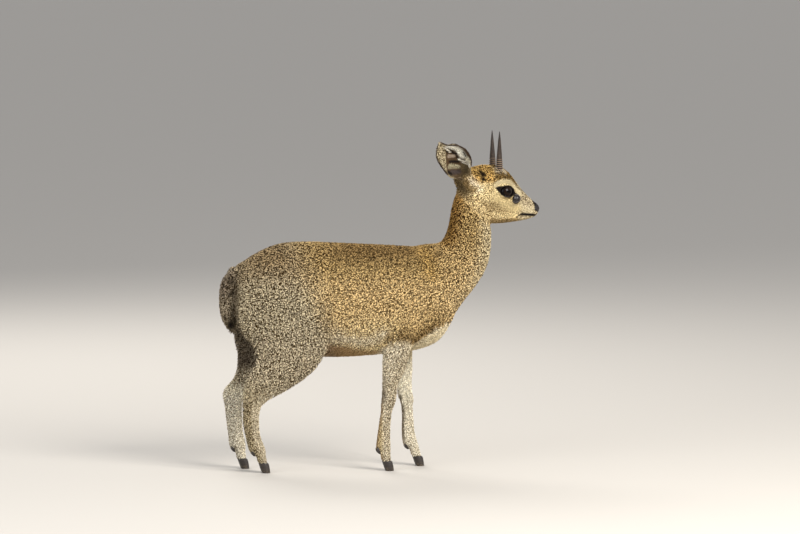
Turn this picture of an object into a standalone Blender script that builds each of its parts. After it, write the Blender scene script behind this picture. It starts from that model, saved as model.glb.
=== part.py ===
"""A klipspringer buck, life size, standing on the tips of its hooves.

The buck faces +X with its head turned a little to its left (+Y). Its trunk, neck, head and legs are
lofted as overlapping masses, fused and smoothed into one body, and then parted with thin cuts, so
that every node meets its neighbour face to face. Ears, horns, eyes, glands, hooves and dewclaws
are made apart and cut to the body that carries them. Lengths are in metres, and Z is up.
"""

import math

import bmesh
import bpy
from mathutils import Matrix, Vector
from mathutils.bvhtree import BVHTree

GAP = 0.0003
CLEARANCE = 0.0006
HEAD_TURN = math.radians(13.0)
HEAD_PIVOT = Vector((0.2966, 0.0, 0.640))

# The fused body: the grid it is fused on, how far creases are softened, and how many faces stay.
VOXEL = 0.0026
CREASE_ROUNDS = 45
SURFACE_ROUNDS = 6
BODY_TRIANGLES = 5000
HEAD_KEEP = 4e-6

# Trunk stations: place along the body, back line, belly line, half width.
TRUNK = (
    (-0.247, 0.438, 0.372, 0.022),
    (-0.238, 0.4705, 0.348, 0.040),
    (-0.218, 0.4875, 0.322, 0.056),
    (-0.185, 0.5075, 0.292, 0.068),
    (-0.134, 0.5255, 0.271, 0.076),
    (-0.070, 0.528, 0.263, 0.079),
    (0.012, 0.524, 0.261, 0.082),
    (0.090, 0.520, 0.265, 0.080),
    (0.150, 0.516, 0.270, 0.074),
    (0.200, 0.512, 0.281, 0.066),
    (0.232, 0.503, 0.299, 0.056),
    (0.254, 0.470, 0.330, 0.044),
    (0.270, 0.430, 0.362, 0.026),
)
TRUNK_WIDEST = 0.44

# Neck stations: nape point x and z, throat point x and z, half width, share of the head's turn.
NECK = (
    (0.150, 0.508, 0.262, 0.350, 0.060, 0.0),
    (0.196, 0.519, 0.288, 0.386, 0.056, 0.0),
    (0.233, 0.523, 0.318, 0.424, 0.050, 0.0),
    (0.2485, 0.546, 0.341, 0.463, 0.045, 0.1),
    (0.2555, 0.574, 0.351, 0.503, 0.041, 0.3),
    (0.2605, 0.604, 0.353, 0.538, 0.039, 0.6),
    (0.270, 0.634, 0.352, 0.566, 0.038, 0.9),
    (0.284, 0.664, 0.346, 0.590, 0.034, 1.0),
)

# Head stations, ahead of the pivot: crown line, jaw line, half widths at brow, cheek and jaw.
HEAD = (
    (-0.021, 0.658, 0.608, 0.012, 0.017, 0.013),
    (-0.010, 0.680, 0.586, 0.024, 0.031, 0.022),
    (0.006, 0.694, 0.570, 0.030, 0.038, 0.026),
    (0.032, 0.6975, 0.565, 0.034, 0.039, 0.026),
    (0.056, 0.6970, 0.5640, 0.037, 0.039, 0.024),
    (0.076, 0.6940, 0.5640, 0.0375, 0.038, 0.022),
    (0.094, 0.6845, 0.5645, 0.032, 0.0345, 0.0195),
    (0.110, 0.6690, 0.5660, 0.0235, 0.0285, 0.017),
    (0.129, 0.6468, 0.5684, 0.0168, 0.0220, 0.0148),
    (0.147, 0.6285, 0.5712, 0.0130, 0.0175, 0.0128),
    (0.161, 0.6168, 0.5750, 0.0115, 0.0148, 0.0110),
    (0.1708, 0.6095, 0.5803, 0.0096, 0.0118, 0.0087),
    (0.1772, 0.603, 0.589, 0.006, 0.007, 0.0045),
)
BROW_LEVEL, CHEEK_LEVEL, JAW_LEVEL = 0.80, 0.50, 0.14

# Right legs as joints: place along the body, across it and up; half depth, half width and lean.
HIND_LEG = (
    (-0.141, -0.040, 0.450, 0.070, 0.030, 0),
    (-0.141, -0.046, 0.418, 0.100, 0.036, 0),
    (-0.136, -0.050, 0.344, 0.109, 0.035, 0),
    (-0.124, -0.053, 0.291, 0.089, 0.032, -4),
    (-0.134, -0.054, 0.250, 0.070, 0.029, -12),
    (-0.168, -0.053, 0.215, 0.052, 0.024, -22),
    (-0.195, -0.051, 0.191, 0.037, 0.019, -30),
    (-0.209, -0.050, 0.168, 0.026, 0.0155, -28),
    (-0.212, -0.049, 0.144, 0.0205, 0.0135, -8),
    (-0.212, -0.048, 0.112, 0.0190, 0.0125, 0),
    (-0.207, -0.047, 0.082, 0.0178, 0.0125, 0),
    (-0.199, -0.046, 0.057, 0.0192, 0.0155, 6),
    (-0.193, -0.046, 0.043, 0.0160, 0.0150, 10),
)
FORE_LEG = (
    (0.150, -0.040, 0.400, 0.058, 0.026, 0),
    (0.138, -0.046, 0.330, 0.050, 0.029, 0),
    (0.1275, -0.048, 0.290, 0.0345, 0.026, 0),
    (0.1215, -0.047, 0.251, 0.0295, 0.0225, 0),
    (0.1165, -0.046, 0.223, 0.0243, 0.0190, 0),
    (0.1105, -0.045, 0.198, 0.0180, 0.0165, 0),
    (0.109, -0.044, 0.174, 0.0163, 0.0148, 0),
    (0.106, -0.044, 0.157, 0.0160, 0.0150, 0),
    (0.1025, -0.044, 0.138, 0.0132, 0.0120, 0),
    (0.099, -0.044, 0.113, 0.0136, 0.0115, 0),
    (0.096, -0.044, 0.082, 0.0152, 0.0122, 0),
    (0.095, -0.043, 0.056, 0.0170, 0.0152, 4),
    (0.098, -0.043, 0.043, 0.0148, 0.0148, 8),
)
# How the left legs stand against the right ones: the shift of each joint along the body, and the left
# hind leg's own half depths, because its thigh is drawn back and its hock is straighter.
LEFT_HIND_SHIFT = (0, 0, 0, -0.021, -0.026, -0.022, -0.0255, -0.033, -0.030, -0.028, -0.030, -0.034, -0.036)
LEFT_HIND_DEPTH = (
    0.070, 0.100, 0.109, 0.095, 0.074, 0.047, 0.028, 0.026, 0.0205, 0.0190, 0.0178, 0.0192, 0.0160
)
LEFT_FORE_SHIFT = (0, 0, 0.015, 0.025, 0.035, 0.045, 0.049, 0.055, 0.060, 0.065, 0.069, 0.074, 0.077)
SHOULDER_SIZE = Vector((0.070, 0.024, 0.106))
SHOULDER_PLACE = Vector((0.174, -0.0475, 0.398))

# Feet: two digits side by side, each ending in a blunt peg of a hoof, and two dewclaws behind.
DIGIT_SPREAD = 0.0088
DIGIT_SIZE = (0.0112, 0.0086)
CORONET = 0.0255
HOOF_TOP = (0.0108, 0.0081)
HOOF_SOLE = (0.0082, 0.0062)
HOOF_REACH = 0.007
DEWCLAW_HEIGHT = 0.050
DEWCLAW_SIZE = (0.0058, 0.0045, 0.0085)
FOOT_SLANT = {"hind_right": 0.008, "hind_left": 0.006, "fore_right": 0.004, "fore_left": 0.010}

# Where the body is parted.
HEAD_CUT = ((0.309, 0.611), (0.719, 0.695))
SHOULDER_CUT = ((0.262, 0.458), (0.896, 0.444))
HIND_CUT = {"back": -0.400, "front": -0.028, "inside": 0.008, "level": 0.300, "tilt": 54.0}
FORE_CUT = {"back": 0.072, "front": 0.216, "inside": 0.010, "level": 0.290, "tilt": 38.0}
HOCK_LEVEL = 0.156
KNEE_LEVEL = 0.146

# Head features in the head's own frame, for its right side (Y below 0).
EYE_CENTRE = Vector((0.0830, -0.0240, 0.6390))
EYE_RADIUS = 0.0180
EYE_LOOK = Vector((0.24, -0.97, 0.06))
LID_LENGTH = 0.0190
LID_HEIGHT = (0.0112, 0.0116)
LID_SLOPE = math.radians(-8.0)
LID_RIM = 0.0023
SOCKET_FLOOR = 0.0060
GLAND_CENTRE = (0.1108, 0.6222)
GLAND_SIZE = (0.0098, 0.0046, 0.0086)
NOSTRIL_LINE = ((0.1742, 0.6018), (0.1724, 0.6030), (0.1698, 0.6026), (0.1668, 0.6002))
NOSTRIL_RADIUS = (0.0012, 0.0023, 0.0022, 0.0012)
MOUTH_LINE = (
    (0.1170, 0.5765),
    (0.1215, 0.5812),
    (0.1280, 0.5848),
    (0.1400, 0.5840),
    (0.1520, 0.5828),
    (0.1665, 0.5815),
)
MOUTH_RADIUS = 0.0011
LIP_LIFT = 0.0023
LIP_RADIUS = 0.0021
NOSE_PAD_CUT = {"back": 0.1618, "under": 0.5940, "lean": 24.0}

HORN_PLACE = Vector((0.071, -0.0205, 0.682))
HORN_LENGTH = 0.097
HORN_PROFILE = (
    (0.0, 0.0083), (0.010, 0.0080), (0.028, 0.0070), (0.052, 0.0050), (0.074, 0.0033), (0.089, 0.0016)
)
HORN_RINGS = (0.0135, 0.0180, 0.0225, 0.0272)
HORN_RING_RISE = 0.0008
HORN_LEAN = math.radians(1.5)

EAR_LENGTH = 0.1065
EAR_WALL = 0.0026
EAR_BASE = Vector((-0.0145, -0.0280, 0.6775))
EAR_ROOT = ((-0.036, 0.0150), (-0.024, 0.0175), (-0.010, 0.0172), (0.000, 0.0142), (0.006, 0.0095))
RIGHT_EAR = {"axis": (-0.66, -0.14, 0.74), "opening": (-0.34, -0.93, -0.12)}
LEFT_EAR = {"axis": (-0.05, 0.80, 0.60), "opening": (0.94, 0.16, -0.28)}
# Ear stations: share of its length, reach of the rear and front margins, cup depth, curl in degrees.
EAR = (
    (-0.08, 0.0092, 0.0100, 0.012, 158),
    (0.05, 0.0120, 0.0135, 0.018, 148),
    (0.16, 0.0195, 0.0215, 0.023, 122),
    (0.28, 0.0278, 0.0325, 0.025, 100),
    (0.42, 0.0296, 0.0380, 0.024, 88),
    (0.56, 0.0300, 0.0385, 0.020, 80),
    (0.70, 0.0288, 0.0315, 0.015, 74),
    (0.78, 0.0262, 0.0215, 0.0115, 69),
    (0.84, 0.0222, 0.0125, 0.0088, 65),
    (0.93, 0.0135, 0.0062, 0.0045, 56),
    (1.0, 0.0045, 0.0020, 0.0020, 50),
)

# Tail stations: place along the body, height, half depth, half width.
TAIL = (
    (-0.236, 0.471, 0.010, 0.013),
    (-0.250, 0.457, 0.0150, 0.018),
    (-0.2585, 0.432, 0.0185, 0.022),
    (-0.2605, 0.400, 0.0190, 0.025),
    (-0.2590, 0.368, 0.0180, 0.023),
    (-0.2530, 0.340, 0.0130, 0.017),
    (-0.2470, 0.325, 0.0050, 0.008),
)

COATS = {
    "coat_grizzled": ((0.42, 0.34, 0.20), 0.85),
    "coat_grey": ((0.38, 0.34, 0.27), 0.85),
    "ear_skin": ((0.40, 0.34, 0.28), 0.75),
    "horn_keratin": ((0.07, 0.05, 0.04), 0.40),
    "eye_dark": ((0.02, 0.012, 0.01), 0.08),
    "gland_black": ((0.02, 0.02, 0.02), 0.25),
    "nose_leather": ((0.03, 0.03, 0.03), 0.35),
    "hoof_keratin": ((0.05, 0.045, 0.04), 0.45),
}


def material(name):
    """One plain finish for each kind of surface."""
    found = bpy.data.materials.get(name)
    if found:
        return found
    colour, roughness = COATS[name]
    made = bpy.data.materials.new(name)
    made.use_nodes = True
    shader = made.node_tree.nodes["Principled BSDF"]
    shader.inputs["Base Color"].default_value = (*colour, 1.0)
    shader.inputs["Roughness"].default_value = roughness
    return made


def clear_scene():
    for obj in list(bpy.data.objects):
        bpy.data.objects.remove(obj)


def collection(name):
    made = bpy.data.collections.new(name)
    bpy.context.scene.collection.children.link(made)
    return made


def new_object(name, mesh, home):
    obj = bpy.data.objects.new(name, mesh)
    home.objects.link(obj)
    return obj


def mesh_from(name, bm):
    mesh = bpy.data.meshes.new(name)
    bmesh.ops.recalc_face_normals(bm, faces=bm.faces)
    bm.to_mesh(mesh)
    bm.free()
    return mesh


def loft(name, rings, home):
    """A closed skin over rings of equal count, capped at both ends."""
    bm = bmesh.new()
    loops = [[bm.verts.new(point) for point in ring] for ring in rings]
    count = len(loops[0])
    for lower, upper in zip(loops, loops[1:]):
        for i in range(count):
            j = (i + 1) % count
            bm.faces.new((lower[i], lower[j], upper[j], upper[i]))
    bm.faces.new(loops[0])
    bm.faces.new(loops[-1])
    return new_object(name, mesh_from(name, bm), home)


def along(table, t):
    """The row at t, from 0 to 1 down the table, on a smooth curve through its rows."""
    last = len(table) - 1
    i = min(int(t * last), last - 1)
    f = t * last - i
    rows = [table[min(max(k, 0), last)] for k in (i - 1, i, i + 1, i + 2)]
    return [
        0.5 * (2 * b + (c - a) * f + (2 * a - 5 * b + 4 * c - d) * f**2 + (3 * b - a - 3 * c + d) * f**3)
        for a, b, c, d in zip(*rows)
    ]


def egg_ring(x, top, bottom, half_width, widest, count=28):
    """A trunk section: round above, and rounder still below its widest level."""
    middle = bottom + widest * (top - bottom)
    ring = []
    for k in range(count):
        angle = 2 * math.pi * k / count
        rise = math.cos(angle)
        reach = top - middle if rise > 0 else middle - bottom
        side = math.copysign(abs(math.sin(angle)) ** 0.92, math.sin(angle))
        ring.append(Vector((x, half_width * side, middle + reach * rise)))
    return ring


def oval_ring(centre, fore_aft, half_depth, half_width, count=20):
    """An oval across a limb or neck, with its long way along fore_aft and its width along Y."""
    across = Vector((0, 1, 0))
    angles = [2 * math.pi * k / count for k in range(count)]
    return [
        centre + fore_aft * (half_depth * math.cos(a)) + across * (half_width * math.sin(a))
        for a in angles
    ]


def trunk(home):
    steps = 40
    rings = []
    for k in range(steps + 1):
        x, top, bottom, half_width = along(TRUNK, k / steps)
        rings.append(egg_ring(x, top, bottom, half_width, TRUNK_WIDEST))
    return loft("trunk_mass", rings, home)


def head_frame(share=1.0):
    """From the head's own frame, which looks along +X, to the body's."""
    turn = Matrix.Rotation(HEAD_TURN * share, 4, "Z")
    lift = Matrix.Translation(Vector((HEAD_PIVOT.x, HEAD_PIVOT.y, 0)))
    return lift @ turn


def neck(home):
    steps = 26
    rings = []
    for k in range(steps + 1):
        nape_x, nape_z, throat_x, throat_z, half_width, share = along(NECK, k / steps)
        nape = Vector((nape_x, 0, nape_z))
        throat = Vector((throat_x, 0, throat_z))
        depth = throat - nape
        ring = oval_ring((nape + throat) / 2, depth.normalized(), depth.length / 2, half_width, 28)
        turned = head_frame(share) @ head_frame(0).inverted()
        rings.append([turned @ point for point in ring])
    return loft("neck_mass", rings, home)


def head_ring(x, crown, jaw, brow, cheek, chin, count=32):
    """A head section through five levels: jaw line, jaw, cheek, brow and crown."""
    levels = ((0.0, 0.0), (JAW_LEVEL, chin), (CHEEK_LEVEL, cheek), (BROW_LEVEL, brow), (1.0, 0.0))
    half = []
    for k in range(count // 2 + 1):
        rise = (1 - math.cos(math.pi * k / (count // 2))) / 2
        for (low, low_width), (high, high_width) in zip(levels, levels[1:]):
            if rise <= high:
                break
        f = (rise - low) / (high - low)
        if low == 0.0:
            width = high_width * math.sqrt(1 - (1 - f) ** 2)
        elif high == 1.0:
            width = low_width * math.sqrt(1 - f**2)
        else:
            f = f * f * (3 - 2 * f)
            width = low_width + (high_width - low_width) * f
        half.append((width, jaw + rise * (crown - jaw)))
    right = [Vector((x, -width, z)) for width, z in half]
    left = [Vector((x, width, z)) for width, z in reversed(half[1:-1])]
    return right + left


def head(home):
    steps = 40
    frame = head_frame()
    rings = []
    for k in range(steps + 1):
        rings.append([frame @ point for point in head_ring(*along(HEAD, k / steps))])
    return loft("head_mass", rings, home)


def ear_root(side, pose, home):
    """The fleshy base of an ear, which swells out of the skull and tapers along the ear."""
    turn = axes_from(pose["axis"], pose["opening"])
    points = [mirrored(EAR_BASE, side) + turn @ Vector((0, -0.0045, z)) for z, _ in EAR_ROOT]
    return headed(tapered(points, [radius for _, radius in EAR_ROOT], home, "ear_root", 14))


def leg_joints(table, shifts, side, depths=None):
    """The table of a right leg, or its mirror with each joint shifted along the body."""
    joints = []
    for k, (x, y, z, depth, width, lean) in enumerate(table):
        joints.append((x + shifts[k], y * side, z, depths[k] if depths else depth, width, lean))
    return joints


def leg(name, joints, home):
    steps = 48
    rings = []
    for k in range(steps + 1):
        x, y, z, depth, width, lean = along(joints, k / steps)
        tilt = math.radians(lean)
        fore_aft = Vector((math.cos(tilt), 0, math.sin(tilt)))
        rings.append(oval_ring(Vector((x, y, z)), fore_aft, depth, width))
    return loft(name, rings, home)


def shoulder(side, home):
    """The flat muscle over the shoulder blade."""
    bm = bmesh.new()
    bmesh.ops.create_uvsphere(bm, u_segments=24, v_segments=14, radius=1.0)
    bmesh.ops.scale(bm, vec=SHOULDER_SIZE, verts=bm.verts)
    bmesh.ops.rotate(bm, cent=(0, 0, 0), matrix=Matrix.Rotation(math.radians(18), 3, "Y"), verts=bm.verts)
    place = Vector((SHOULDER_PLACE.x, SHOULDER_PLACE.y * side, SHOULDER_PLACE.z))
    bmesh.ops.translate(bm, vec=place, verts=bm.verts)
    return new_object("shoulder_mass", mesh_from("shoulder_mass", bm), home)


def foot_centre(joints):
    x, y, *_ = joints[-1]
    return Vector((x, y, joints[-1][2]))


def digits(name, joints, home):
    """The two toes between the fetlock and the hooves."""
    top = foot_centre(joints)
    slant = FOOT_SLANT[name]
    for side in (-1, 1):
        rings = []
        for k in range(5):
            f = k / 4
            centre = Vector((
                top.x + slant * f,
                top.y + side * DIGIT_SPREAD * (0.75 + 0.25 * f),
                top.z + 0.012 + (CORONET - 0.004 - top.z - 0.012) * f,
            ))
            rings.append(oval_ring(centre, Vector((1, 0, 0)), DIGIT_SIZE[0], DIGIT_SIZE[1], 16))
        loft(name + "_digit", rings, home)


def evaluated(obj, home, name):
    """The object as its modifiers make it, as a plain mesh object in place of the old one."""
    graph = bpy.context.evaluated_depsgraph_get()
    mesh = bpy.data.meshes.new_from_object(obj.evaluated_get(graph), depsgraph=graph)
    made = new_object(name, mesh, home)
    made.matrix_world = obj.matrix_world
    bpy.data.objects.remove(obj)
    return made


def joined(name, home):
    """All the collection's meshes as one mesh object."""
    bm = bmesh.new()
    for obj in list(home.objects):
        bm.from_mesh(obj.data)
        bpy.data.objects.remove(obj)
    mesh = bpy.data.meshes.new(name)
    bm.to_mesh(mesh)
    bm.free()
    return new_object(name, mesh, home)


def fused_body(legs, home):
    """Every mass of flesh fused on a fine grid, softened where they meet, and thinned out."""
    trunk(home)
    neck(home)
    head(home)
    for name, joints in legs.items():
        leg(name + "_mass", joints, home)
        digits(name, joints, home)
    for side, pose in ((1, RIGHT_EAR), (-1, LEFT_EAR)):
        shoulder(side, home)
        ear_root(side, pose, home)
    body = joined("body", home)
    grid = body.modifiers.new("fuse", "REMESH")
    grid.mode = "VOXEL"
    grid.voxel_size = VOXEL
    body = evaluated(body, home, "body")

    broad = body.vertex_groups.new(name="broad")
    fine = body.vertex_groups.new(name="fine")
    for vertex in body.data.vertices:
        z = vertex.co.z
        ahead = (vertex.co - HEAD_PIVOT).dot(Vector((0.72, 0, 0.69)))
        trunk_share = min(max((z - 0.20) / 0.08, 0), 1) * min(max((-0.004 - ahead) / 0.03, 0), 1)
        broad.add([vertex.index], trunk_share, "REPLACE")
        fine.add([vertex.index], 0.5 if ahead > 0.0 else 1.0, "REPLACE")
    crease = body.modifiers.new("crease", "SMOOTH")
    crease.vertex_group = "broad"
    crease.iterations = CREASE_ROUNDS
    surface = body.modifiers.new("surface", "SMOOTH")
    surface.iterations = SURFACE_ROUNDS
    body = evaluated(body, home, "body")

    thin = body.modifiers.new("thin", "DECIMATE")
    thin.ratio = BODY_TRIANGLES / (2 * len(body.data.polygons))
    thin.vertex_group = "fine"
    thin.vertex_group_factor = HEAD_KEEP
    thin.use_collapse_triangulate = True
    return evaluated(body, home, "body")


def boolean(obj, operation, others, solver="MANIFOLD"):
    """obj joined with, cut by or kept inside each of the others, which are then removed."""
    home = obj.users_collection[0]
    for k, other in enumerate(others):
        step = obj.modifiers.new(f"step_{k}", "BOOLEAN")
        step.operation = operation
        step.solver = solver
        step.object = other
    name = obj.name
    obj.name = name + "_before"
    made = evaluated(obj, home, name)
    for other in others:
        bpy.data.objects.remove(other)
    return largest(made)


def largest(obj):
    """Only the biggest closed surface of the mesh, with its loose scraps dropped."""
    bm = bmesh.new()
    bm.from_mesh(obj.data)
    bmesh.ops.remove_doubles(bm, verts=bm.verts, dist=1e-6)
    bmesh.ops.triangulate(bm, faces=bm.faces)
    left = set(bm.faces)
    islands = []
    while left:
        seed = left.pop()
        island, todo = {seed}, [seed]
        while todo:
            for edge in todo.pop().edges:
                for face in edge.link_faces:
                    if face in left:
                        left.remove(face)
                        island.add(face)
                        todo.append(face)
        islands.append(island)
    islands.sort(key=lambda island: sum(face.calc_area() for face in island))
    scraps = [face for island in islands[:-1] for face in island]
    bmesh.ops.delete(bm, geom=scraps, context="FACES")
    bm.to_mesh(obj.data)
    bm.free()
    return obj


def copy_of(obj, name, home, growth=0.0):
    """A copy of a mesh, let out along its normals."""
    made = new_object(name, obj.data.copy(), home)
    made.matrix_world = obj.matrix_world
    if growth:
        made.data.materials.clear()
        for vertex, normal in zip(made.data.vertices, [v.normal.copy() for v in obj.data.vertices]):
            vertex.co += normal * growth
    return made


def box(name, low, high, home, frame=Matrix()):
    """A cutter between two corners, placed by a frame."""
    bm = bmesh.new()
    bmesh.ops.create_cube(bm, size=1.0)
    low, high = Vector(low), Vector(high)
    bmesh.ops.scale(bm, vec=high - low, verts=bm.verts)
    bmesh.ops.translate(bm, vec=(low + high) / 2, verts=bm.verts)
    bmesh.ops.transform(bm, matrix=frame, verts=bm.verts)
    made = new_object(name, mesh_from(name, bm), home)
    made.hide_render = True
    made.display_type = "WIRE"
    return made


def plane_frame(point, normal):
    """A frame whose X axis is the normal of a cut across the body's middle plane."""
    (x, z), (nx, nz) = point, normal
    return Matrix.Translation((x, 0, z)) @ Matrix.Rotation(-math.atan2(nz, nx), 4, "Y")


def beyond(cut, gap, home, name="beyond"):
    """A block over everything on the far side of a cut."""
    return box(name, (gap, -0.5, -0.6), (1.0, 0.5, 0.6), home, plane_frame(*cut))


def leg_block(cut, side, gap, home):
    """A block over one leg: outside the middle, below a plane that climbs outwards, front to back."""
    tilt = math.radians(cut["tilt"])
    inside = cut["inside"] - gap
    level = cut["level"] + gap / math.cos(tilt) - gap * math.tan(tilt)
    outside = 0.4
    section = (
        (inside, -0.1),
        (inside, level),
        (outside, level + (outside - inside) * math.tan(tilt)),
        (outside, -0.1),
    )
    ends = (cut["back"] - gap, cut["front"] + gap)
    rings = [[Vector((x, -side * y, z)) for y, z in section] for x in ends]
    made = loft("leg_block", rings, home)
    made.hide_render = True
    made.display_type = "WIRE"
    return made


def node(obj, name, surface, home):
    """Puts a finished body into the object's own collection under its own name and finish."""
    for holder in list(obj.users_collection):
        holder.objects.unlink(obj)
    home.objects.link(obj)
    obj.name = name
    obj.data.name = name
    obj.data.materials.clear()
    obj.data.materials.append(material(surface))
    return obj


def parted(obj, name, block, kept, home):
    """The part of obj inside the block, and obj without the block and the gap round it."""
    inner, outer = block(-GAP / 2), block(GAP / 2)
    piece = boolean(copy_of(obj, name, home), "INTERSECT", [inner], "EXACT")
    rest = boolean(obj, "DIFFERENCE", [outer], "EXACT")
    rest.name = kept
    return piece, rest


def flesh_nodes(body, home):
    """The fused body parted into head, neck, torso and eight leg pieces."""
    pieces = {}
    pieces["head"], rest = parted(body, "head", lambda g: beyond(HEAD_CUT, -g, home), "rest", home)
    pieces["neck"], rest = parted(rest, "neck", lambda g: beyond(SHOULDER_CUT, -g, home), "rest", home)
    for side, word in ((1, "right"), (-1, "left")):
        for cut, end in ((HIND_CUT, "hind"), (FORE_CUT, "fore")):
            def block(g, cut=cut, side=side):
                return leg_block(cut, side, g, home)

            limb, rest = parted(rest, "limb", block, "rest", home)
            level = HOCK_LEVEL if end == "hind" else KNEE_LEVEL

            def below(g, level=level):
                return box("below", (-0.6, -0.6, -0.1), (0.6, 0.6, level + g), home)

            lower, upper = parted(limb, "lower", below, "upper", home)
            pieces[f"{end}_leg_{word}"] = upper
            pieces[f"{end}_shank_{word}"] = lower
    pieces["torso"] = rest
    return pieces


def tapered(points, radii, home, name="tapered", count=8):
    """A round rod through points, with its own radius at each."""
    rings = []
    for k, (point, radius) in enumerate(zip(points, radii)):
        ahead = (points[min(k + 1, len(points) - 1)] - points[max(k - 1, 0)]).normalized()
        aside = ahead.cross(Vector((0, 0, 1)) if abs(ahead.z) < 0.9 else Vector((0, 1, 0))).normalized()
        upright = aside.cross(ahead)
        ring = []
        for i in range(count):
            a = 2 * math.pi * i / count
            ring.append(point + aside * (radius * math.cos(a)) + upright * (radius * math.sin(a)))
        rings.append(ring)
    return loft(name, rings, home)


def ball(name, centre, size, home, segments=20, rings=12, frame=Matrix()):
    bm = bmesh.new()
    bmesh.ops.create_uvsphere(bm, u_segments=segments, v_segments=rings, radius=1.0)
    bmesh.ops.scale(bm, vec=size, verts=bm.verts)
    place = Matrix.Translation(Vector(centre)) @ frame
    bmesh.ops.transform(bm, matrix=place, verts=bm.verts)
    return new_object(name, mesh_from(name, bm), home)


def axes_from(ahead, toward):
    """A turn whose Z axis points ahead and whose Y axis points away from the other direction."""
    z = Vector(ahead).normalized()
    y = -(Vector(toward) - z * Vector(toward).dot(z)).normalized()
    x = y.cross(z)
    return Matrix((x, y, z)).transposed().to_4x4()


def mirrored(point, side):
    """A point of the right side (side 1) carried to the left side (side -1)."""
    return Vector((point[0], point[1] * side, point[2]))


class HeadSurface:
    """Places on the head's skin, looked up from its side."""

    def __init__(self, head):
        self.tree = BVHTree.FromPolygons(
            [v.co.copy() for v in head.data.vertices],
            [list(face.vertices) for face in head.data.polygons],
        )
        self.frame = head_frame()
        self.inverse = self.frame.inverted()

    def along_ray(self, start, toward):
        """The skin's point and outward normal where a ray in the head's frame meets it."""
        place, normal, _, _ = self.tree.ray_cast(self.frame @ start, self.frame.to_3x3() @ toward)
        return self.inverse @ place, self.inverse.to_3x3() @ normal

    def at(self, x, z, side):
        """The skin's point and outward normal, in the head's frame, at x and z on one side."""
        return self.along_ray(Vector((x, -0.2 * side, z)), Vector((0, side, 0)))


def eye_axes(side):
    """The eye's own axes: along the lids, up, and out of the head."""
    out = mirrored(EYE_LOOK, side).normalized()
    level = Vector((math.cos(LID_SLOPE), 0, math.sin(LID_SLOPE)))
    along_lid = (level - out * level.dot(out)).normalized()
    up = along_lid.cross(out) if side > 0 else out.cross(along_lid)
    if up.z < 0:
        up = -up
    return along_lid, up, out


def lid_opening(side, growth, count=24):
    """The almond between the lids, as points on a plane across the eye's axis."""
    along_lid, up, _ = eye_axes(side)
    points = []
    for k in range(count):
        a = 2 * math.pi * k / count
        height = LID_HEIGHT[0] if math.sin(a) > 0 else LID_HEIGHT[1]
        reach = (LID_LENGTH + growth) * math.copysign(abs(math.cos(a)) ** 0.86, math.cos(a))
        lift = (height + growth) * math.copysign(abs(math.sin(a)) ** 1.12, math.sin(a))
        points.append(along_lid * reach + up * lift)
    return points


def lid_rim(surface, side, home):
    """A rolled rim of skin round the opening of the eye, on the skin or the eyeball, whichever is outer."""
    centre = mirrored(EYE_CENTRE, side)
    _, _, out = eye_axes(side)
    points = []
    for point in lid_opening(side, LID_RIM * 0.55, 20):
        start = centre + point + out * 0.05
        skin, _ = surface.along_ray(start, -out)
        ball_depth = math.sqrt(max(EYE_RADIUS**2 - point.length_squared, 0.0))
        depth = max((skin - centre).dot(out) - LID_RIM * 0.35, ball_depth + LID_RIM * 0.35)
        points.append(centre + point + out * depth)
    bm = bmesh.new()
    frame = head_frame()
    loops = []
    for k, point in enumerate(points):
        ahead = (points[(k + 1) % len(points)] - points[k - 1]).normalized()
        aside = ahead.cross(out).normalized()
        upright = aside.cross(ahead)
        angles = [2 * math.pi * i / 6 for i in range(6)]
        ring = [point + (aside * math.cos(a) + upright * math.sin(a)) * LID_RIM for a in angles]
        loops.append([bm.verts.new(frame @ corner) for corner in ring])
    loops.append(loops[0])
    for lower, upper in zip(loops, loops[1:]):
        for i in range(6):
            j = (i + 1) % 6
            bm.faces.new((lower[i], lower[j], upper[j], upper[i]))
    return new_object("lid_rim", mesh_from("lid_rim", bm), home)


def lid_cutter(side, home):
    """The almond opening, from the outer air down to the eyeball."""
    centre = mirrored(EYE_CENTRE, side)
    _, _, out = eye_axes(side)
    shape = lid_opening(side, 0.0, 20)
    frame = head_frame()
    rings = [[frame @ (centre + point + out * depth) for point in shape] for depth in (SOCKET_FLOOR, 0.04)]
    return loft("lid_cutter", rings, home)


def gland_axes(surface, side):
    place, normal = surface.at(GLAND_CENTRE[0], GLAND_CENTRE[1], side)
    return place, axes_from(normal, (0, 0, -1))


def headed(obj):
    """An object made in the head's frame, carried to the body's."""
    obj.data.transform(head_frame())
    return obj


def nostril_cutter(surface, side, home):
    """A comma-shaped slit that runs back from the front of the nose and curls under."""
    points = []
    for k, (x, z) in enumerate(NOSTRIL_LINE):
        place, normal = surface.at(min(x, 0.1744), z, side)
        points.append(place + normal * (0.0002 if k < 3 else 0.0006))
    return headed(tapered(points, NOSTRIL_RADIUS, home, "nostril"))


def mouth_cutter(surface, side, home):
    """The line between the lips, from the corner of the mouth to under the nose."""
    points = []
    for x, z in MOUTH_LINE:
        place, normal = surface.at(x, z, side)
        points.append(place + normal * 0.0001)
    radii = [MOUTH_RADIUS * r for r in (0.5, 0.9, 1.1, 1.15, 1.0, 0.8)]
    return headed(tapered(points, radii, home, "mouth", 6))


def lip_rolls(surface, side, home):
    """The swelling of the upper and lower lip along the mouth line."""
    rolls = []
    for lift in (LIP_LIFT, -LIP_LIFT):
        points = []
        for x, z in MOUTH_LINE[1:]:
            place, normal = surface.at(x, z + lift, side)
            points.append(place - normal * (LIP_RADIUS * 0.62))
        radii = [LIP_RADIUS * share for share in (0.5, 0.9, 1.0, 1.0, 0.7)]
        rolls.append(headed(tapered(points, radii, home, "lip_roll", 6)))
    return rolls


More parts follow.
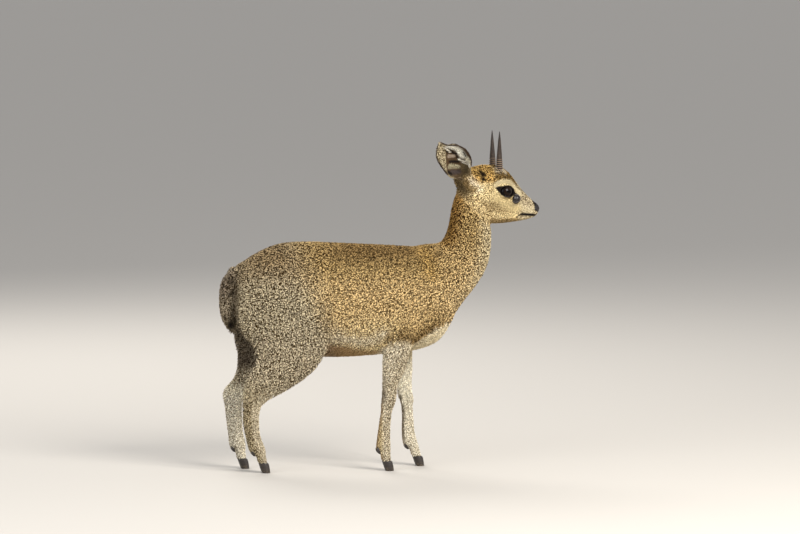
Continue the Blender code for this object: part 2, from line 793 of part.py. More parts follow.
def nose_pad_block(gap, home):
    """A block over the tip of the nose, with a leaning back face and a level under face."""
    turn = Matrix.Rotation(math.radians(NOSE_PAD_CUT["lean"]), 4, "Y")
    corner = Matrix.Translation((NOSE_PAD_CUT["back"], 0, NOSE_PAD_CUT["under"]))
    return box("nose_block", (-gap, -0.1, -gap), (0.1, 0.1, 0.1), home, head_frame() @ corner @ turn)


def faced(head, home):
    """The head with sockets, lids, gland pits, nostrils and a mouth line, and the nodes set in it."""
    surface = HeadSurface(head)
    made = {}
    cuts, lids = [], []
    for side, word in ((1, "right"), (-1, "left")):
        centre = mirrored(EYE_CENTRE, side)
        lids.append(lid_rim(surface, side, home))
        lids.extend(lip_rolls(surface, side, home))
        cuts.append(lid_cutter(side, home))
        cuts.append(headed(ball("socket", centre, [EYE_RADIUS + GAP] * 3, home, 18, 12)))
        made["eye_" + word] = headed(ball("eye_" + word, centre, [EYE_RADIUS] * 3, home, 18, 12))
        place, turn = gland_axes(surface, side)
        size = [value + GAP for value in GLAND_SIZE]
        sunk = place - turn.to_3x3() @ Vector((0, 0, 0.0016))
        cuts.append(headed(ball("pit", sunk, (size[0], size[2], size[1]), home, 16, 10, turn)))
        shape = (GLAND_SIZE[0], GLAND_SIZE[2], GLAND_SIZE[1])
        made["gland_" + word] = headed(ball("gland_" + word, sunk, shape, home, 16, 10, turn))
        cuts.append(nostril_cutter(surface, side, home))
        cuts.append(mouth_cutter(surface, side, home))
    head = boolean(head, "UNION", lids, "EXACT")
    for cut in cuts:
        head = boolean(head, "DIFFERENCE", [cut], "EXACT")
    made["nose"], head = parted(head, "nose", lambda g: nose_pad_block(g, home), "head", home)
    made["head"] = head
    return made


def horn(side, home):
    """A straight, slender horn: a turned profile with low rings round its lower quarter."""
    profile = []
    around_rings = [ring + step for ring in HORN_RINGS for step in (-0.0014, 0.0, 0.0014)]
    plain = [0.0, 0.006, 0.0335]
    plain += [HORN_LENGTH * share for share in (0.43, 0.54, 0.66, 0.77, 0.86, 0.93, 0.975, 1.0)]
    for height in sorted(plain + around_rings):
        lower = [p for p in HORN_PROFILE if p[0] <= height][-1]
        upper = ([p for p in HORN_PROFILE if p[0] > height] or [(HORN_LENGTH, 0.0004)])[0]
        f = (height - lower[0]) / (upper[0] - lower[0])
        radius = lower[1] + (upper[1] - lower[1]) * f
        rise = sum(math.exp(-(((height - ring) / 0.0011) ** 2)) for ring in HORN_RINGS)
        profile.append((height, radius + HORN_RING_RISE * rise))
    count = 12
    place = mirrored(HORN_PLACE, side)
    lean = Matrix.Rotation(HORN_LEAN * side, 4, "X")
    rings = []
    for height, radius in profile:
        angles = [2 * math.pi * i / count for i in range(count)]
        ring = [Vector((radius * math.cos(a), radius * math.sin(a), height)) for a in angles]
        rings.append([place + lean @ point for point in ring])
    return headed(loft("horn", rings, home))


def ear(side, pose, home):
    """A deep leaf of even thickness, rolled at its root and open towards its own opening."""
    steps, across = 14, 12
    turn = axes_from(pose["axis"], pose["opening"])
    root = mirrored(EAR_BASE, side)
    middle = []
    for k in range(steps + 1):
        share, rear, front, cup, curl = along(EAR, k / steps)
        reach_angle = math.radians(curl)
        row = []
        for i in range(across + 1):
            s = 2 * i / across - 1
            width = front if s * side > 0 else rear
            angle = abs(s) * reach_angle
            x = math.copysign(width * math.sin(angle) / math.sin(min(reach_angle, math.pi / 2)), s)
            y = -cup * (1 - math.cos(angle)) / (1 - math.cos(reach_angle))
            bow = -0.010 * math.sin(math.pi * share)
            row.append(Vector((x, y - bow, share * EAR_LENGTH)))
        middle.append(row)
    bm = bmesh.new()
    grid = [[bm.verts.new(root + turn @ point) for point in row] for row in middle]
    for lower, upper in zip(grid, grid[1:]):
        for a, b, c, d in zip(lower, lower[1:], upper[1:], upper):
            bm.faces.new((a, b, c, d))
    sheet = new_object("ear_sheet", mesh_from("ear_sheet", bm), home)
    wall = sheet.modifiers.new("wall", "SOLIDIFY")
    wall.thickness = EAR_WALL
    wall.offset = 0.0
    return headed(evaluated(sheet, home, "ear"))


def seated(obj, head, home):
    """An ear or horn cut off where it enters the head, just clear of the skin."""
    return boolean(obj, "DIFFERENCE", [copy_of(head, "grown", home, CLEARANCE)], "EXACT")


def tail(torso, home):
    rings = []
    steps = 11
    for k in range(steps + 1):
        x, z, depth, width = along(TAIL, k / steps)
        rings.append(oval_ring(Vector((x, 0, z)), Vector((1, 0, 0.25)).normalized(), depth, width, 14))
    stub = loft("tail", rings, home)
    return boolean(stub, "DIFFERENCE", [copy_of(torso, "grown", home, CLEARANCE)], "EXACT")


def foot_nodes(name, joints, shank, home):
    """Hooves under the digits and dewclaws behind them, each cut clear of the shank."""
    top = foot_centre(joints)
    slant = FOOT_SLANT[name]
    nodes = {}
    for side, word in ((-1, "outer"), (1, "inner")):
        outward = side if top.y < 0 else -side
        centre = Vector((top.x + slant, top.y + outward * DIGIT_SPREAD, 0))
        rings = []
        for k in range(5):
            f = k / 4
            z = CORONET * f
            flare = math.sin(math.pi * f) * 0.0006
            depth = HOOF_SOLE[0] + (HOOF_TOP[0] - HOOF_SOLE[0]) * f + flare
            width = HOOF_SOLE[1] + (HOOF_TOP[1] - HOOF_SOLE[1]) * f + flare
            ahead = HOOF_REACH * (1 - f)
            ring = []
            for i in range(14):
                a = 2 * math.pi * i / 14
                point = Vector((math.cos(a), math.sin(a)))
                toe = 1 + 0.16 * max(point.x, 0) ** 2
                lift = 0.0035 * f * point.x
                ring.append(centre + Vector((ahead + depth * point.x * toe, width * point.y, z - lift)))
            rings.append(ring)
        hoof = loft("hoof", rings, home)
        nodes[f"hoof_{name}_{word}"] = boolean(
            hoof, "DIFFERENCE", [copy_of(shank, "grown", home, CLEARANCE)], "EXACT"
        )
        place = Vector((top.x - 0.0135, top.y + outward * 0.0080, DEWCLAW_HEIGHT - 0.003))
        lean = Matrix.Rotation(math.radians(-28), 4, "Y")
        claw = ball("dewclaw", place, DEWCLAW_SIZE, home, 10, 7, lean)
        nodes[f"dewclaw_{name}_{word}"] = boolean(
            claw, "DIFFERENCE", [copy_of(shank, "grown", home, CLEARANCE)], "EXACT"
        )
    return nodes


def build():
    clear_scene()
    home = collection("klipspringer")
    cutters = collection("cutters")
    cutters.hide_render = True

    legs = {
        "hind_right": leg_joints(HIND_LEG, [0] * len(HIND_LEG), 1),
        "hind_left": leg_joints(HIND_LEG, LEFT_HIND_SHIFT, -1, LEFT_HIND_DEPTH),
        "fore_right": leg_joints(FORE_LEG, [0] * len(FORE_LEG), 1),
        "fore_left": leg_joints(FORE_LEG, LEFT_FORE_SHIFT, -1),
    }
    body = fused_body(legs, cutters)
    pieces = flesh_nodes(body, cutters)
    pieces.update(faced(pieces["head"], cutters))

    for side, word, pose in ((1, "right", RIGHT_EAR), (-1, "left", LEFT_EAR)):
        pieces["ear_" + word] = seated(ear(side, pose, cutters), pieces["head"], cutters)
        pieces["horn_" + word] = seated(horn(side, cutters), pieces["head"], cutters)
    pieces["tail"] = tail(pieces["torso"], cutters)
    for name, joints in legs.items():
        end, word = name.split("_")
        pieces.update(foot_nodes(name, joints, pieces[f"{end}_shank_{word}"], cutters))

    finishes = {
        "head": "coat_grizzled", "neck": "coat_grizzled", "torso": "coat_grizzled", "tail": "coat_grizzled",
        "fore": "coat_grey", "hind": "coat_grey", "ear": "ear_skin", "horn": "horn_keratin",
        "eye": "eye_dark", "gland": "gland_black", "nose": "nose_leather",
        "hoof": "hoof_keratin", "dewclaw": "hoof_keratin",
    }
    for name, obj in pieces.items():
        node(obj, name, finishes[name.split("_")[0]], home)
    centre_on_floor(list(pieces.values()))
    bpy.data.collections.remove(cutters)


def centre_on_floor(objects):
    """Moves every node so that the middle of the box round them all, at its floor, is the origin."""
    points = [obj.matrix_world @ vertex.co for obj in objects for vertex in obj.data.vertices]
    low = [min(p[k] for p in points) for k in range(3)]
    high = [max(p[k] for p in points) for k in range(3)]
    shift = Matrix.Translation((-(low[0] + high[0]) / 2, -(low[1] + high[1]) / 2, -low[2]))
    for obj in objects:
        obj.data.transform(shift)


build()
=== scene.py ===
import math

import bmesh
import bpy
import numpy as np
from mathutils import Matrix, Vector
from mathutils.bvhtree import BVHTree
from mathutils.kdtree import KDTree


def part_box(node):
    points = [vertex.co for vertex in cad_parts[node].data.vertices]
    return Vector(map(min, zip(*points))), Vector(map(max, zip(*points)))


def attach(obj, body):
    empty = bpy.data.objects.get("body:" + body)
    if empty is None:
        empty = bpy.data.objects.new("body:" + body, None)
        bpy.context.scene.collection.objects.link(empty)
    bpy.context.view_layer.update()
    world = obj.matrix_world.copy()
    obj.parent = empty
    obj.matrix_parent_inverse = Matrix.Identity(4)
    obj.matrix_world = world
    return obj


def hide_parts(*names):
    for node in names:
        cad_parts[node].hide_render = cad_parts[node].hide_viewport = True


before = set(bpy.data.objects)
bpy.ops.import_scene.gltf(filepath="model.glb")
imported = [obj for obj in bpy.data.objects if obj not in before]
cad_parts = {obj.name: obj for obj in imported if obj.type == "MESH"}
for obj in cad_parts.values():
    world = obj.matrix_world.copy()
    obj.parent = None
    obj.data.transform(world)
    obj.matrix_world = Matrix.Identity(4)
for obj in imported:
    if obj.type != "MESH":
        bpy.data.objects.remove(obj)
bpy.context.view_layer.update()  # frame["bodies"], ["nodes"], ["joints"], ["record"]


# ---- Skin -------------------------------------------------------------------------------------
# The hide of the buck: one skin from lips to coronets, drawn over the flesh of the body, with the
# ears part of it. It lies inside the solids by the depth of the coat, and is softened so that
# no joint between head, neck, trunk and legs shows.
LEGS = [(end, side) for end in ("fore", "hind") for side in ("right", "left")]
SIDES = ((1, "right"), (-1, "left"))
FLESH = ["head", "neck", "torso", "tail", "ear_right", "ear_left"]
FLESH += [f"{end}_leg_{side}" for end, side in LEGS] + [f"{end}_shank_{side}" for end, side in LEGS]
JOINT_GAP = 0.0002
SKIN_GRAIN = 0.0014
SKIN_FACES = 190000
FINE_FROM = (0.105, 0.548)
MEASURED_FROM = 0.0020  # how far ahead of the origin the places in the folds and markings are counted
DEPTH_OF_COAT = {
    "head": 0.0016, "neck": 0.0052, "torso": 0.0055, "tail": 0.0050, "ear": 0.0002,
    "fore_leg": 0.0036, "hind_leg": 0.0042, "fore_shank": 0.0016, "hind_shank": 0.0018,
}

# The head stands at the top of the neck and is turned a little to the buck's left. The eyes look
# out to its sides, and the ears are turned out and back.
HEAD_TURN = math.radians(13.0)
EYE_CENTRE = Vector((0.0830, -0.0240, 0.6390))
EYE_LOOK = Vector((0.24, -0.97, 0.06))
LID_LENGTH, LID_HEIGHT = 0.0190, 0.0114
LID_SLOPE = math.radians(-8.0)
EAR_BASE = Vector((-0.0145, -0.0280, 0.6775))
EAR_LENGTH = 0.1065
EAR_SET = {"right": ((-0.66, -0.14, 0.74), (-0.34, -0.93, -0.12)),
           "left": ((-0.05, 0.80, 0.60), (0.94, 0.16, -0.28))}
eye_low, eye_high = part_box("eye_right")
EYE_PLACE = (eye_low + eye_high) / 2
HEAD = Matrix.Translation(EYE_PLACE) @ Matrix.Rotation(HEAD_TURN, 4, "Z") @ Matrix.Translation(-EYE_CENTRE)


def merged(name, growth=0.0):
    """A solid's mesh with its loose triangles joined up, swollen by a little."""
    bm = bmesh.new()
    bm.from_mesh(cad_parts[name].data)
    bmesh.ops.remove_doubles(bm, verts=bm.verts, dist=1e-6)
    bm.normal_update()
    for vert in bm.verts:
        vert.co += vert.normal * growth
    return bm


def stood(name, data):
    """A new object of the scene."""
    obj = bpy.data.objects.new(name, data)
    bpy.context.scene.collection.objects.link(obj)
    return obj


def shown(name, bm):
    """A bmesh as an object of the scene, placed by its own vertices."""
    mesh = bpy.data.meshes.new(name)
    bm.to_mesh(mesh)
    bm.free()
    mesh.polygons.foreach_set("use_smooth", [True] * len(mesh.polygons))
    return stood(name, mesh)


def settled(obj):
    """The object with its modifiers made part of its mesh."""
    graph = bpy.context.evaluated_depsgraph_get()
    mesh = bpy.data.meshes.new_from_object(obj.evaluated_get(graph))
    obj.modifiers.clear()
    plain, obj.data = obj.data, mesh
    bpy.data.meshes.remove(plain)
    mesh.name = obj.name
    mesh.polygons.foreach_set("use_smooth", [True] * len(mesh.polygons))
    return obj


def gathered(name, solids):
    """Several bmeshes as one object."""
    whole = bmesh.new()
    for solid in solids:
        loose = bpy.data.meshes.new(name)
        solid.to_mesh(loose)
        solid.free()
        whole.from_mesh(loose)
        bpy.data.meshes.remove(loose)
    return shown(name, whole)


def rows_of(items, field, width, kind=float):
    """A field of a mesh's items, as a row for each."""
    flat = np.empty(len(items) * width, kind)
    items.foreach_get(field, flat)
    return flat.reshape(-1, width)


def places(mesh):
    return rows_of(mesh.vertices, "co", 3)


def outward(mesh):
    return rows_of(mesh.vertex_normals, "vector", 3)


def edges_of(mesh):
    return rows_of(mesh.edges, "vertices", 2, int)


def softened(values, edges, rounds, share=0.6):
    """Values at a mesh's vertices, each drawn again and again towards the mean of its neighbours."""
    first, second = edges.T
    count = len(values)
    around = np.maximum(np.bincount(edges.ravel(), minlength=count), 1)
    share = np.broadcast_to(share, count)
    for _ in range(rounds):
        for k in range(values.shape[1]):
            total = np.bincount(first, values[second, k], count)
            total = total + np.bincount(second, values[first, k], count)
            values[:, k] += share * (total / around - values[:, k])
    return values


def remeshed(obj, grain, rounds):
    """The object as one closed surface on a fine grid, softened."""
    grid = obj.modifiers.new("grid", "REMESH")
    grid.mode = "VOXEL"
    grid.voxel_size = grain
    settled(obj)
    soft = softened(places(obj.data), edges_of(obj.data), rounds)
    obj.data.vertices.foreach_set("co", soft.ravel())
    obj.data.update()
    return obj


flesh_solids = [merged(part, JOINT_GAP) for part in FLESH]
owner = [FLESH.index(part) for part, solid in zip(FLESH, flesh_solids) for _ in solid.faces]
skin = gathered("skin", flesh_solids)
flesh_tree = BVHTree.FromPolygons([v.co for v in skin.data.vertices],
                                  [tuple(p.vertices) for p in skin.data.polygons])
remeshed(skin, SKIN_GRAIN, 3)
co = places(skin.data)
fine = (co[:, 0] > FINE_FROM[0]) & (co[:, 2] > FINE_FROM[1])
co = softened(co, edges_of(skin.data), 14, np.where(fine, 0.0, 0.6))
skin.data.vertices.foreach_set("co", co.ravel())
body = skin.vertex_groups.new(name="body")
body.add(np.nonzero(~fine)[0].tolist(), 1.0, "REPLACE")
fewer = skin.modifiers.new("fewer", "DECIMATE")
fewer.ratio = SKIN_FACES / (2 * len(skin.data.polygons))
fewer.vertex_group = "body"
fewer.vertex_group_factor = 1e-9
settled(skin)

co = places(skin.data)
edges = edges_of(skin.data)
label = np.array([owner[flesh_tree.find_nearest(Vector(point))[2]] for point in co])
share_of = softened(np.eye(len(FLESH))[label], edges, 60)


def by_part(values):
    """A value for each kind of part, carried to the skin's vertices and blended where parts meet."""
    kinds = [part if part in values else part.rsplit("_", 1)[0] for part in FLESH]
    return share_of @ np.array([values[kind] for kind in kinds], float)


def part_share(*names):
    return sum(share_of[:, FLESH.index(name)] for name in names)


def smooth(x, start, end):
    """0 before start, 1 after end, with an easy rise between."""
    t = np.clip((x - start) / (end - start), 0.0, 1.0)
    return t * t * (3 - 2 * t)


def spot(points, centre, size):
    """A soft round patch, 1 at its centre."""
    return np.exp(-(((points - np.array(centre)) / np.array(size)) ** 2).sum(axis=1))


def in_frame(points, matrix):
    """Points seen in a frame of their own."""
    inverse = np.array(matrix.inverted())
    return points @ inverse[:3, :3].T + inverse[:3, 3]


def from_line(points, line, widths=None):
    """How far points lie from a line through a few places, less its width there."""
    line, best = np.array(line, float), np.full(len(points), 1e9)
    widths = np.zeros(len(line)) if widths is None else widths
    for a, b, wide, wider in zip(line[:-1], line[1:], widths[:-1], widths[1:]):
        t = np.clip(((points - a) @ (b - a)) / ((b - a) @ (b - a)), 0, 1)
        away = np.linalg.norm(points - a - t[:, None] * (b - a), axis=1) - wide - t * (wider - wide)
        best = np.minimum(best, away)
    return best


def within(points, corners):
    """How far points lie inside a patch with straight sides, given by its corners in turn."""
    corners = np.array(corners, float)
    following = np.roll(corners, -1, axis=0)
    sides = following - corners
    turn = np.sign((following[:, 0] * corners[:, 1] - corners[:, 0] * following[:, 1]).sum())
    inside = [((points - a) @ np.array((side[1], -side[0]))) * turn / np.hypot(*side)
              for a, side in zip(corners, sides)]
    return np.min(inside, axis=0)


def streak(points, line, width, edge=2):
    """A soft band, 1 along a line through a few places."""
    return np.exp(-(np.maximum(from_line(points, line), 0) / width) ** edge)


def turned(along, up, out, place):
    """The frame of axes along, up and out at a place, in the head's own frame and then the buck's."""
    axes = Matrix((along, up, out)).transposed().to_4x4()
    return HEAD @ Matrix.Translation(place) @ axes


def eye_frame(side):
    """The eye's axes: forwards along the lids, up, and out of the head. On the left it is a mirror."""
    out = Vector((EYE_LOOK.x, EYE_LOOK.y * side, EYE_LOOK.z)).normalized()
    level = Vector((math.cos(LID_SLOPE), 0, math.sin(LID_SLOPE)))
    along = (level - out * level.dot(out)).normalized()
    up = along.cross(out) * side
    up = up if up.z > 0 else -up
    return turned(along, up, out, (EYE_CENTRE.x, EYE_CENTRE.y * side, EYE_CENTRE.z))


def from_lids(seen):
    """How far points lie outside the almond between the lids, in the eye's frame."""
    size = (np.abs(seen[:, 0]) / LID_LENGTH) ** 2.3 + (np.abs(seen[:, 1]) / LID_HEIGHT) ** 1.8
    return np.hypot(seen[:, 0], seen[:, 1]) * (1 - np.maximum(size, 1e-6) ** -0.5)


def ear_frame(side, word):
    """The ear's axes: across towards its front edge, away from its opening, and along to its tip."""
    ahead, toward = map(Vector, EAR_SET[word])
    along = ahead.normalized()
    away = -(toward - along * toward.dot(along)).normalized()
    return turned(away.cross(along), away, along, (EAR_BASE.x, EAR_BASE.y * side, EAR_BASE.z))


depth = by_part(DEPTH_OF_COAT)
on_head = in_frame(co, HEAD)
head_share = part_share("head")
depth *= 1 - 0.6 * head_share * smooth(on_head[:, 0], 0.085, 0.125)
lids, glands = {}, {}
for side, word in SIDES:
    seen = in_frame(co, eye_frame(side))
    lids[side] = np.where(seen[:, 2] > 0, from_lids(seen), 0.05)
    low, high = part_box("gland_" + word)
    glands[side] = np.linalg.norm(co - np.array((low + high) / 2), axis=1)
    depth *= smooth(lids[side], 0.002, 0.008) * smooth(glands[side], 0.010, 0.016)
co = co - outward(skin.data) * depth[:, None]

# Folds and forms pressed into the skin, as lines seen from the side: on the head the lids, the brow,
# the cheek, the mouth's corner and the ear's root, and on the body the edges of shoulder, flank and haunch.
HEAD_FOLDS = (
    (((0.118, 0.5765), (0.1160, 0.5725), (0.112, 0.5690)), 0.0018, 0.0008),
    (((0.098, 0.6265), (0.094, 0.6215), (0.084, 0.6175), (0.070, 0.6190)), 0.0022, 0.0006),
    (((0.1210, 0.6120), (0.1160, 0.6085), (0.1080, 0.6065)), 0.0020, 0.0005),
    (((0.1610, 0.5990), (0.1570, 0.6020), (0.1540, 0.6070)), 0.0018, 0.0005),
    (((0.0500, 0.6480), (0.0570, 0.6490), (0.0640, 0.6480)), 0.0016, 0.0009),
    (((-0.022, 0.668), (-0.014, 0.652), (-0.008, 0.641)), 0.0035, 0.0018),
    (((-0.042, 0.672), (-0.036, 0.662)), 0.0105, 0.0070),
)
BODY_FOLDS = (
    (((0.004, 0.296), (0.024, 0.306), (0.050, 0.297), (0.080, 0.300), (0.110, 0.322)), 0.0060, 0.0022),
    (((-0.150, 0.372), (-0.140, 0.340), (-0.128, 0.306), (-0.126, 0.284)), 0.0080, 0.0026),
    (((-0.320, 0.330), (-0.296, 0.296), (-0.284, 0.262), (-0.290, 0.232)), 0.0090, 0.0016),
    (((0.100, 0.492), (0.122, 0.440), (0.140, 0.386), (0.138, 0.345)), 0.0110, 0.0016),
    (((-0.300, 0.196), (-0.303, 0.150), (-0.300, 0.090), (-0.290, 0.060)), 0.0026, 0.0009),
    (((0.010, 0.150), (0.004, 0.110), (0.001, 0.065)), 0.0024, 0.0008),
)
JOINT_FORMS = (
    ("fore_leg_right", (-0.011, 0.177), (0.009, 0.012), 0.0022),
    ("fore_leg_right", (0.021, 0.172), (0.009, 0.018), 0.0010),
    ("fore_leg_left", (0.046, 0.170), (0.009, 0.012), 0.0022),
    ("fore_leg_left", (0.081, 0.168), (0.009, 0.018), 0.0010),
    ("hind_leg_right", (-0.339, 0.190), (0.010, 0.012), 0.0016),
    ("hind_leg_left", (-0.339, 0.190), (0.010, 0.012), 0.0016),
)
TAIL_ROOT = ((-0.330, 0.476), (-0.341, 0.462))
side_face = np.stack([on_head[:, 0], on_head[:, 2]], axis=1)
side_body = co[:, [0, 2]] - np.array((MEASURED_FROM, 0))
flank = np.clip(np.abs(outward(skin.data)[:, 1]) * 1.6 - 0.3, 0, 1)
pressed = np.zeros(len(co))
for line, width, into in HEAD_FOLDS:
    pressed -= into * streak(side_face, line, width) * (head_share + part_share("neck"))
for line, width, into in BODY_FOLDS:
    pressed -= into * streak(side_body, line, width) * flank * (1 - head_share)
for part, place, size, rise in JOINT_FORMS:
    pressed += rise * spot(side_body, place, size) * part_share(part, part.replace("leg", "shank"))
tail_root = 0.0035 * streak(side_body, TAIL_ROOT, 0.009) * part_share("torso", "tail")
pressed += tail_root * smooth(-np.abs(co[:, 1]), -0.03, -0.01)
for side in (1, -1):
    gap = lids[side]
    pressed += 0.0006 * np.exp(-((gap - 0.0035) / 0.0020) ** 2) * head_share
    pressed -= 0.0008 * np.exp(-((gap - 0.0066) / 0.0011) ** 2) * head_share
co = co + outward(skin.data) * pressed[:, None]
skin.data.vertices.foreach_set("co", co.ravel())
skin.data.update()
normals = outward(skin.data)
x, y, z = co[:, 0] - MEASURED_FROM, co[:, 1], co[:, 2]
on_head = in_frame(co, HEAD)
hx, hy, hz = on_head.T


# ---- Markings ---------------------------------------------------------------------------------
# What a klipspringer wears: cream flecks on dark brown, golden on the neck, shoulders and flanks,
# grey on the haunches, pale on the cheeks, lips, breast and lower legs, darkest on the back and rump.
# Skin and coat both take their colours from here.
SAND, GOLD, OCHRE, UMBER, TAN = "#D2BB88", "#B79A67", "#997E4D", "#745A33", "#AB884A"
GREY, ASH, BONE, BUFF, CREAM = "#A0906F", "#B5A482", "#CDBD9C", "#865726", "#D6C69F"
SMOKE, EARTH, WHITE, BARE_SKIN = "#3D2F25", "#5A492D", "#FBF1D6", "#140F0D"
EAR_DOWN, EAR_BACK, EAR_SHADE, EAR_BROWN, EAR_PALE = "#AC9C79", "#87795E", "#1E1814", "#54422E", "#B3A888"


def linear(colour):
    """A hex sRGB colour as linear light."""
    parts = [int(colour[k:k + 2], 16) / 255 for k in (1, 3, 5)]
    return tuple(c / 12.92 if c <= 0.04045 else ((c + 0.055) / 1.055) ** 2.4 for c in parts)


coat_colour = np.tile(linear(GOLD), (len(co), 1))
fleck = by_part({"head": 0.34, "neck": 1.0, "torso": 1.0, "tail": 1.0, "ear": 0.25, "fore_leg": 0.95,
                 "hind_leg": 1.0, "fore_shank": 0.55, "hind_shank": 0.65})
bare = np.zeros(len(co))


def wash(colour, share, flecked=None, hairless=0.0):
    """Lays a colour over the coat as far as its share goes, and may change how flecked or bare it is."""
    global coat_colour, fleck, bare
    share = np.clip(share, 0, 1)
    coat_colour = coat_colour + (np.array(linear(colour)) - coat_colour) * share[:, None]
    if flecked is not None:
        fleck = fleck + (flecked - fleck) * share
    bare = np.maximum(bare, hairless * share)


legs = [part_share(f"{end}_leg_{side}", f"{end}_shank_{side}") for end, side in LEGS]
trunk, neck, hind = part_share("torso") + sum(legs), part_share("neck"), legs[2] + legs[3]
rearward, inward = -normals[:, 0], -normals[:, 1] * np.sign(y)
side_body = np.stack([x, z], axis=1)
haunch_edge = -0.137 - 0.40 * (z - 0.3555)
fleck *= 1 - 0.20 * trunk * smooth(x, -0.16, -0.10)

# The trunk: ochre along the back, darkest at the withers, pale low on the flank, and plain brown under the
# belly, a painted shade.
wash(OCHRE, 0.9 * smooth(z, 0.415, 0.480) * trunk)
wash(UMBER, 0.9 * smooth(z, 0.462, 0.506) * trunk * smooth(x, -0.20, -0.06))
wash(SAND, 0.7 * smooth(-z, -0.39, -0.31) * smooth(x, -0.14, -0.04) * trunk * (1 - smooth(x, 0.02, 0.06)))
wash(GREY, smooth(haunch_edge - x, -0.050, 0.050) * (trunk + part_share("tail")))
wash(UMBER, 0.75 * smooth(z, 0.40, 0.50) * smooth(haunch_edge - x, -0.05, 0.05) * trunk)
wash("#A99877", 0.9 * smooth(-z, -0.37, -0.27) * (x < -0.1) * trunk)
wash(BONE, 0.8 * streak(side_body, ((-0.104, 0.318), (-0.055, 0.305), (-0.020, 0.310), (0.0, 0.326)), 0.012),
     0.6)
# Painted shade: below the belly's edge the coat is drawn plain dark brown, where shade falls under the
# trunk.
belly_edge = np.interp(x, (-0.117, -0.040, -0.005), (0.302, 0.2866, 0.284))
under = smooth(belly_edge - z, -0.002, 0.004) * part_share("torso") * smooth(x, -0.150, -0.125)
wash("#78440F", under * (1 - smooth(x, 0.02, 0.05)), 0.0)

# The fore legs and the breast: painted shade along the shoulder's lower edge, then plain pale hair.
elbow_edge = np.interp(x, (-0.01, 0.014, 0.038, 0.070, 0.099, 0.129, 0.160),
                       (0.290, 0.300, 0.308, 0.296, 0.318, 0.336, 0.350))
pale_fore = smooth(elbow_edge - z, -0.001, 0.007) * smooth(x, -0.012, 0.0) * (1 - neck)
over_elbow = z - elbow_edge - 0.003
under_shoulder = smooth(x, -0.005, 0.01) * (1 - smooth(x, 0.12, 0.15)) * (trunk + neck)
wash(OCHRE, 0.6 * smooth(over_elbow, 0.0, 0.006) * (1 - smooth(over_elbow, 0.02, 0.05)) * under_shoulder)
# Painted shade: a dark umber band just above the elbow line, under the overhang of the shoulder.
wash(UMBER, 0.75 * np.exp(-((over_elbow - 0.0075) / 0.0095) ** 2) * under_shoulder)
fore = legs[0] + legs[1]
wash(BONE, pale_fore, 0.75)
wash(WHITE, pale_fore * (1 - fore), 0.10)
wash("#EAD9B2", 0.9 * pale_fore * smooth(x, 0.050, 0.064) * smooth(z, 0.23, 0.27), 0.10)
wash(ASH, 0.6 * pale_fore * fore * smooth(normals[:, 0] + 0.4, 0, 0.8) * smooth(-inward, -0.2, 0.5) *
     smooth(-x, -0.064, -0.048), 0.8)
wash(BUFF, 0.45 * fore * smooth(rearward, 0.6, 0.95) * smooth(-z, -0.24, -0.15), 0.5)
wash(WHITE, fore * smooth(inward, 0.0, 0.5) * smooth(-z, -0.27, -0.23) *
     (0.50 + 0.45 * smooth(z, 0.13, 0.19)), 0.2)
# Earth-brown down the rear inner edge of the fore legs: partly dark hair, partly painted shade on the side
# away from the light.
wash(EARTH, 0.8 * fore * smooth(rearward, 0.45, 0.8) * smooth(inward, -0.2, 0.2) * smooth(-z, -0.19, -0.16) *
     smooth(z, 0.05, 0.08), 0.3)
wash(SMOKE, 0.8 * fore * spot(side_body, (-0.007, 0.178), (0.013, 0.020)), 0.5)

# The hind legs: dark hair behind the haunch and under the tail, painted shade inside the thighs, grey and
# finely flecked to the feet.
wash(SMOKE, 0.95 *
     streak(side_body, ((-0.341, 0.455), (-0.339, 0.422), (-0.343, 0.395), (-0.349, 0.343)), 0.009) *
     (1 - part_share("tail")) * smooth(np.abs(y), 0.008, 0.02), 0.3)
# Painted shade over darker hair on the rear and inner faces of the thighs, where the legs shade each other.
wash(SMOKE, 0.85 * hind * smooth(rearward + 0.7 * inward, 0.4, 1.0) * smooth(z, 0.215, 0.255), 0.8)
wash("#6F5F4B", part_share("tail") * (0.6 + 0.3 * smooth(z, 0.40, 0.43)), 1.0)
for place, size in (((-0.350, 0.420), (0.012, 0.0065)), ((-0.349, 0.446), (0.006, 0.007)),
                    ((-0.352, 0.350), (0.008, 0.016))):
    wash("#16110D", 1.1 * spot(side_body, place, size) * (part_share("tail") + 0.6 * part_share("torso")),
         0.1)
wash("#9A8864", 0.85 * smooth(-z, -0.23, -0.15) * hind, 0.9)
wash(BONE, 0.95 * smooth(-z, -0.22, -0.17) * hind * smooth(normals[:, 0], -0.2, 0.4), 0.5)
wash(CREAM, 0.9 * hind * spot(side_body, (-0.338, 0.188), (0.020, 0.016)) * smooth(rearward, -0.5, 0.2), 0.3)
wash(WHITE, 0.5 * hind * smooth(inward, 0.0, 0.6) * smooth(-z, -0.215, -0.18), 0.5)

# The neck: dark down the nape (its hair and painted shade), golden at its root, paler and greyer in front.
wash(OCHRE, neck * smooth(z, 0.47, 0.54) * 0.9)
# Painted shade: the back of the neck, turned away from the light, is drawn darker over its own brown.
wash("#7E5D2C", neck * smooth(rearward, 0.0, 0.8) * smooth(z, 0.47, 0.52))
wash("#CDBF98", 0.5 * neck * smooth(normals[:, 0], 0.1, 0.8))
wash(TAN, 0.6 * streak(side_body, ((0.100, 0.500), (0.112, 0.455)), 0.016) * (trunk + neck))

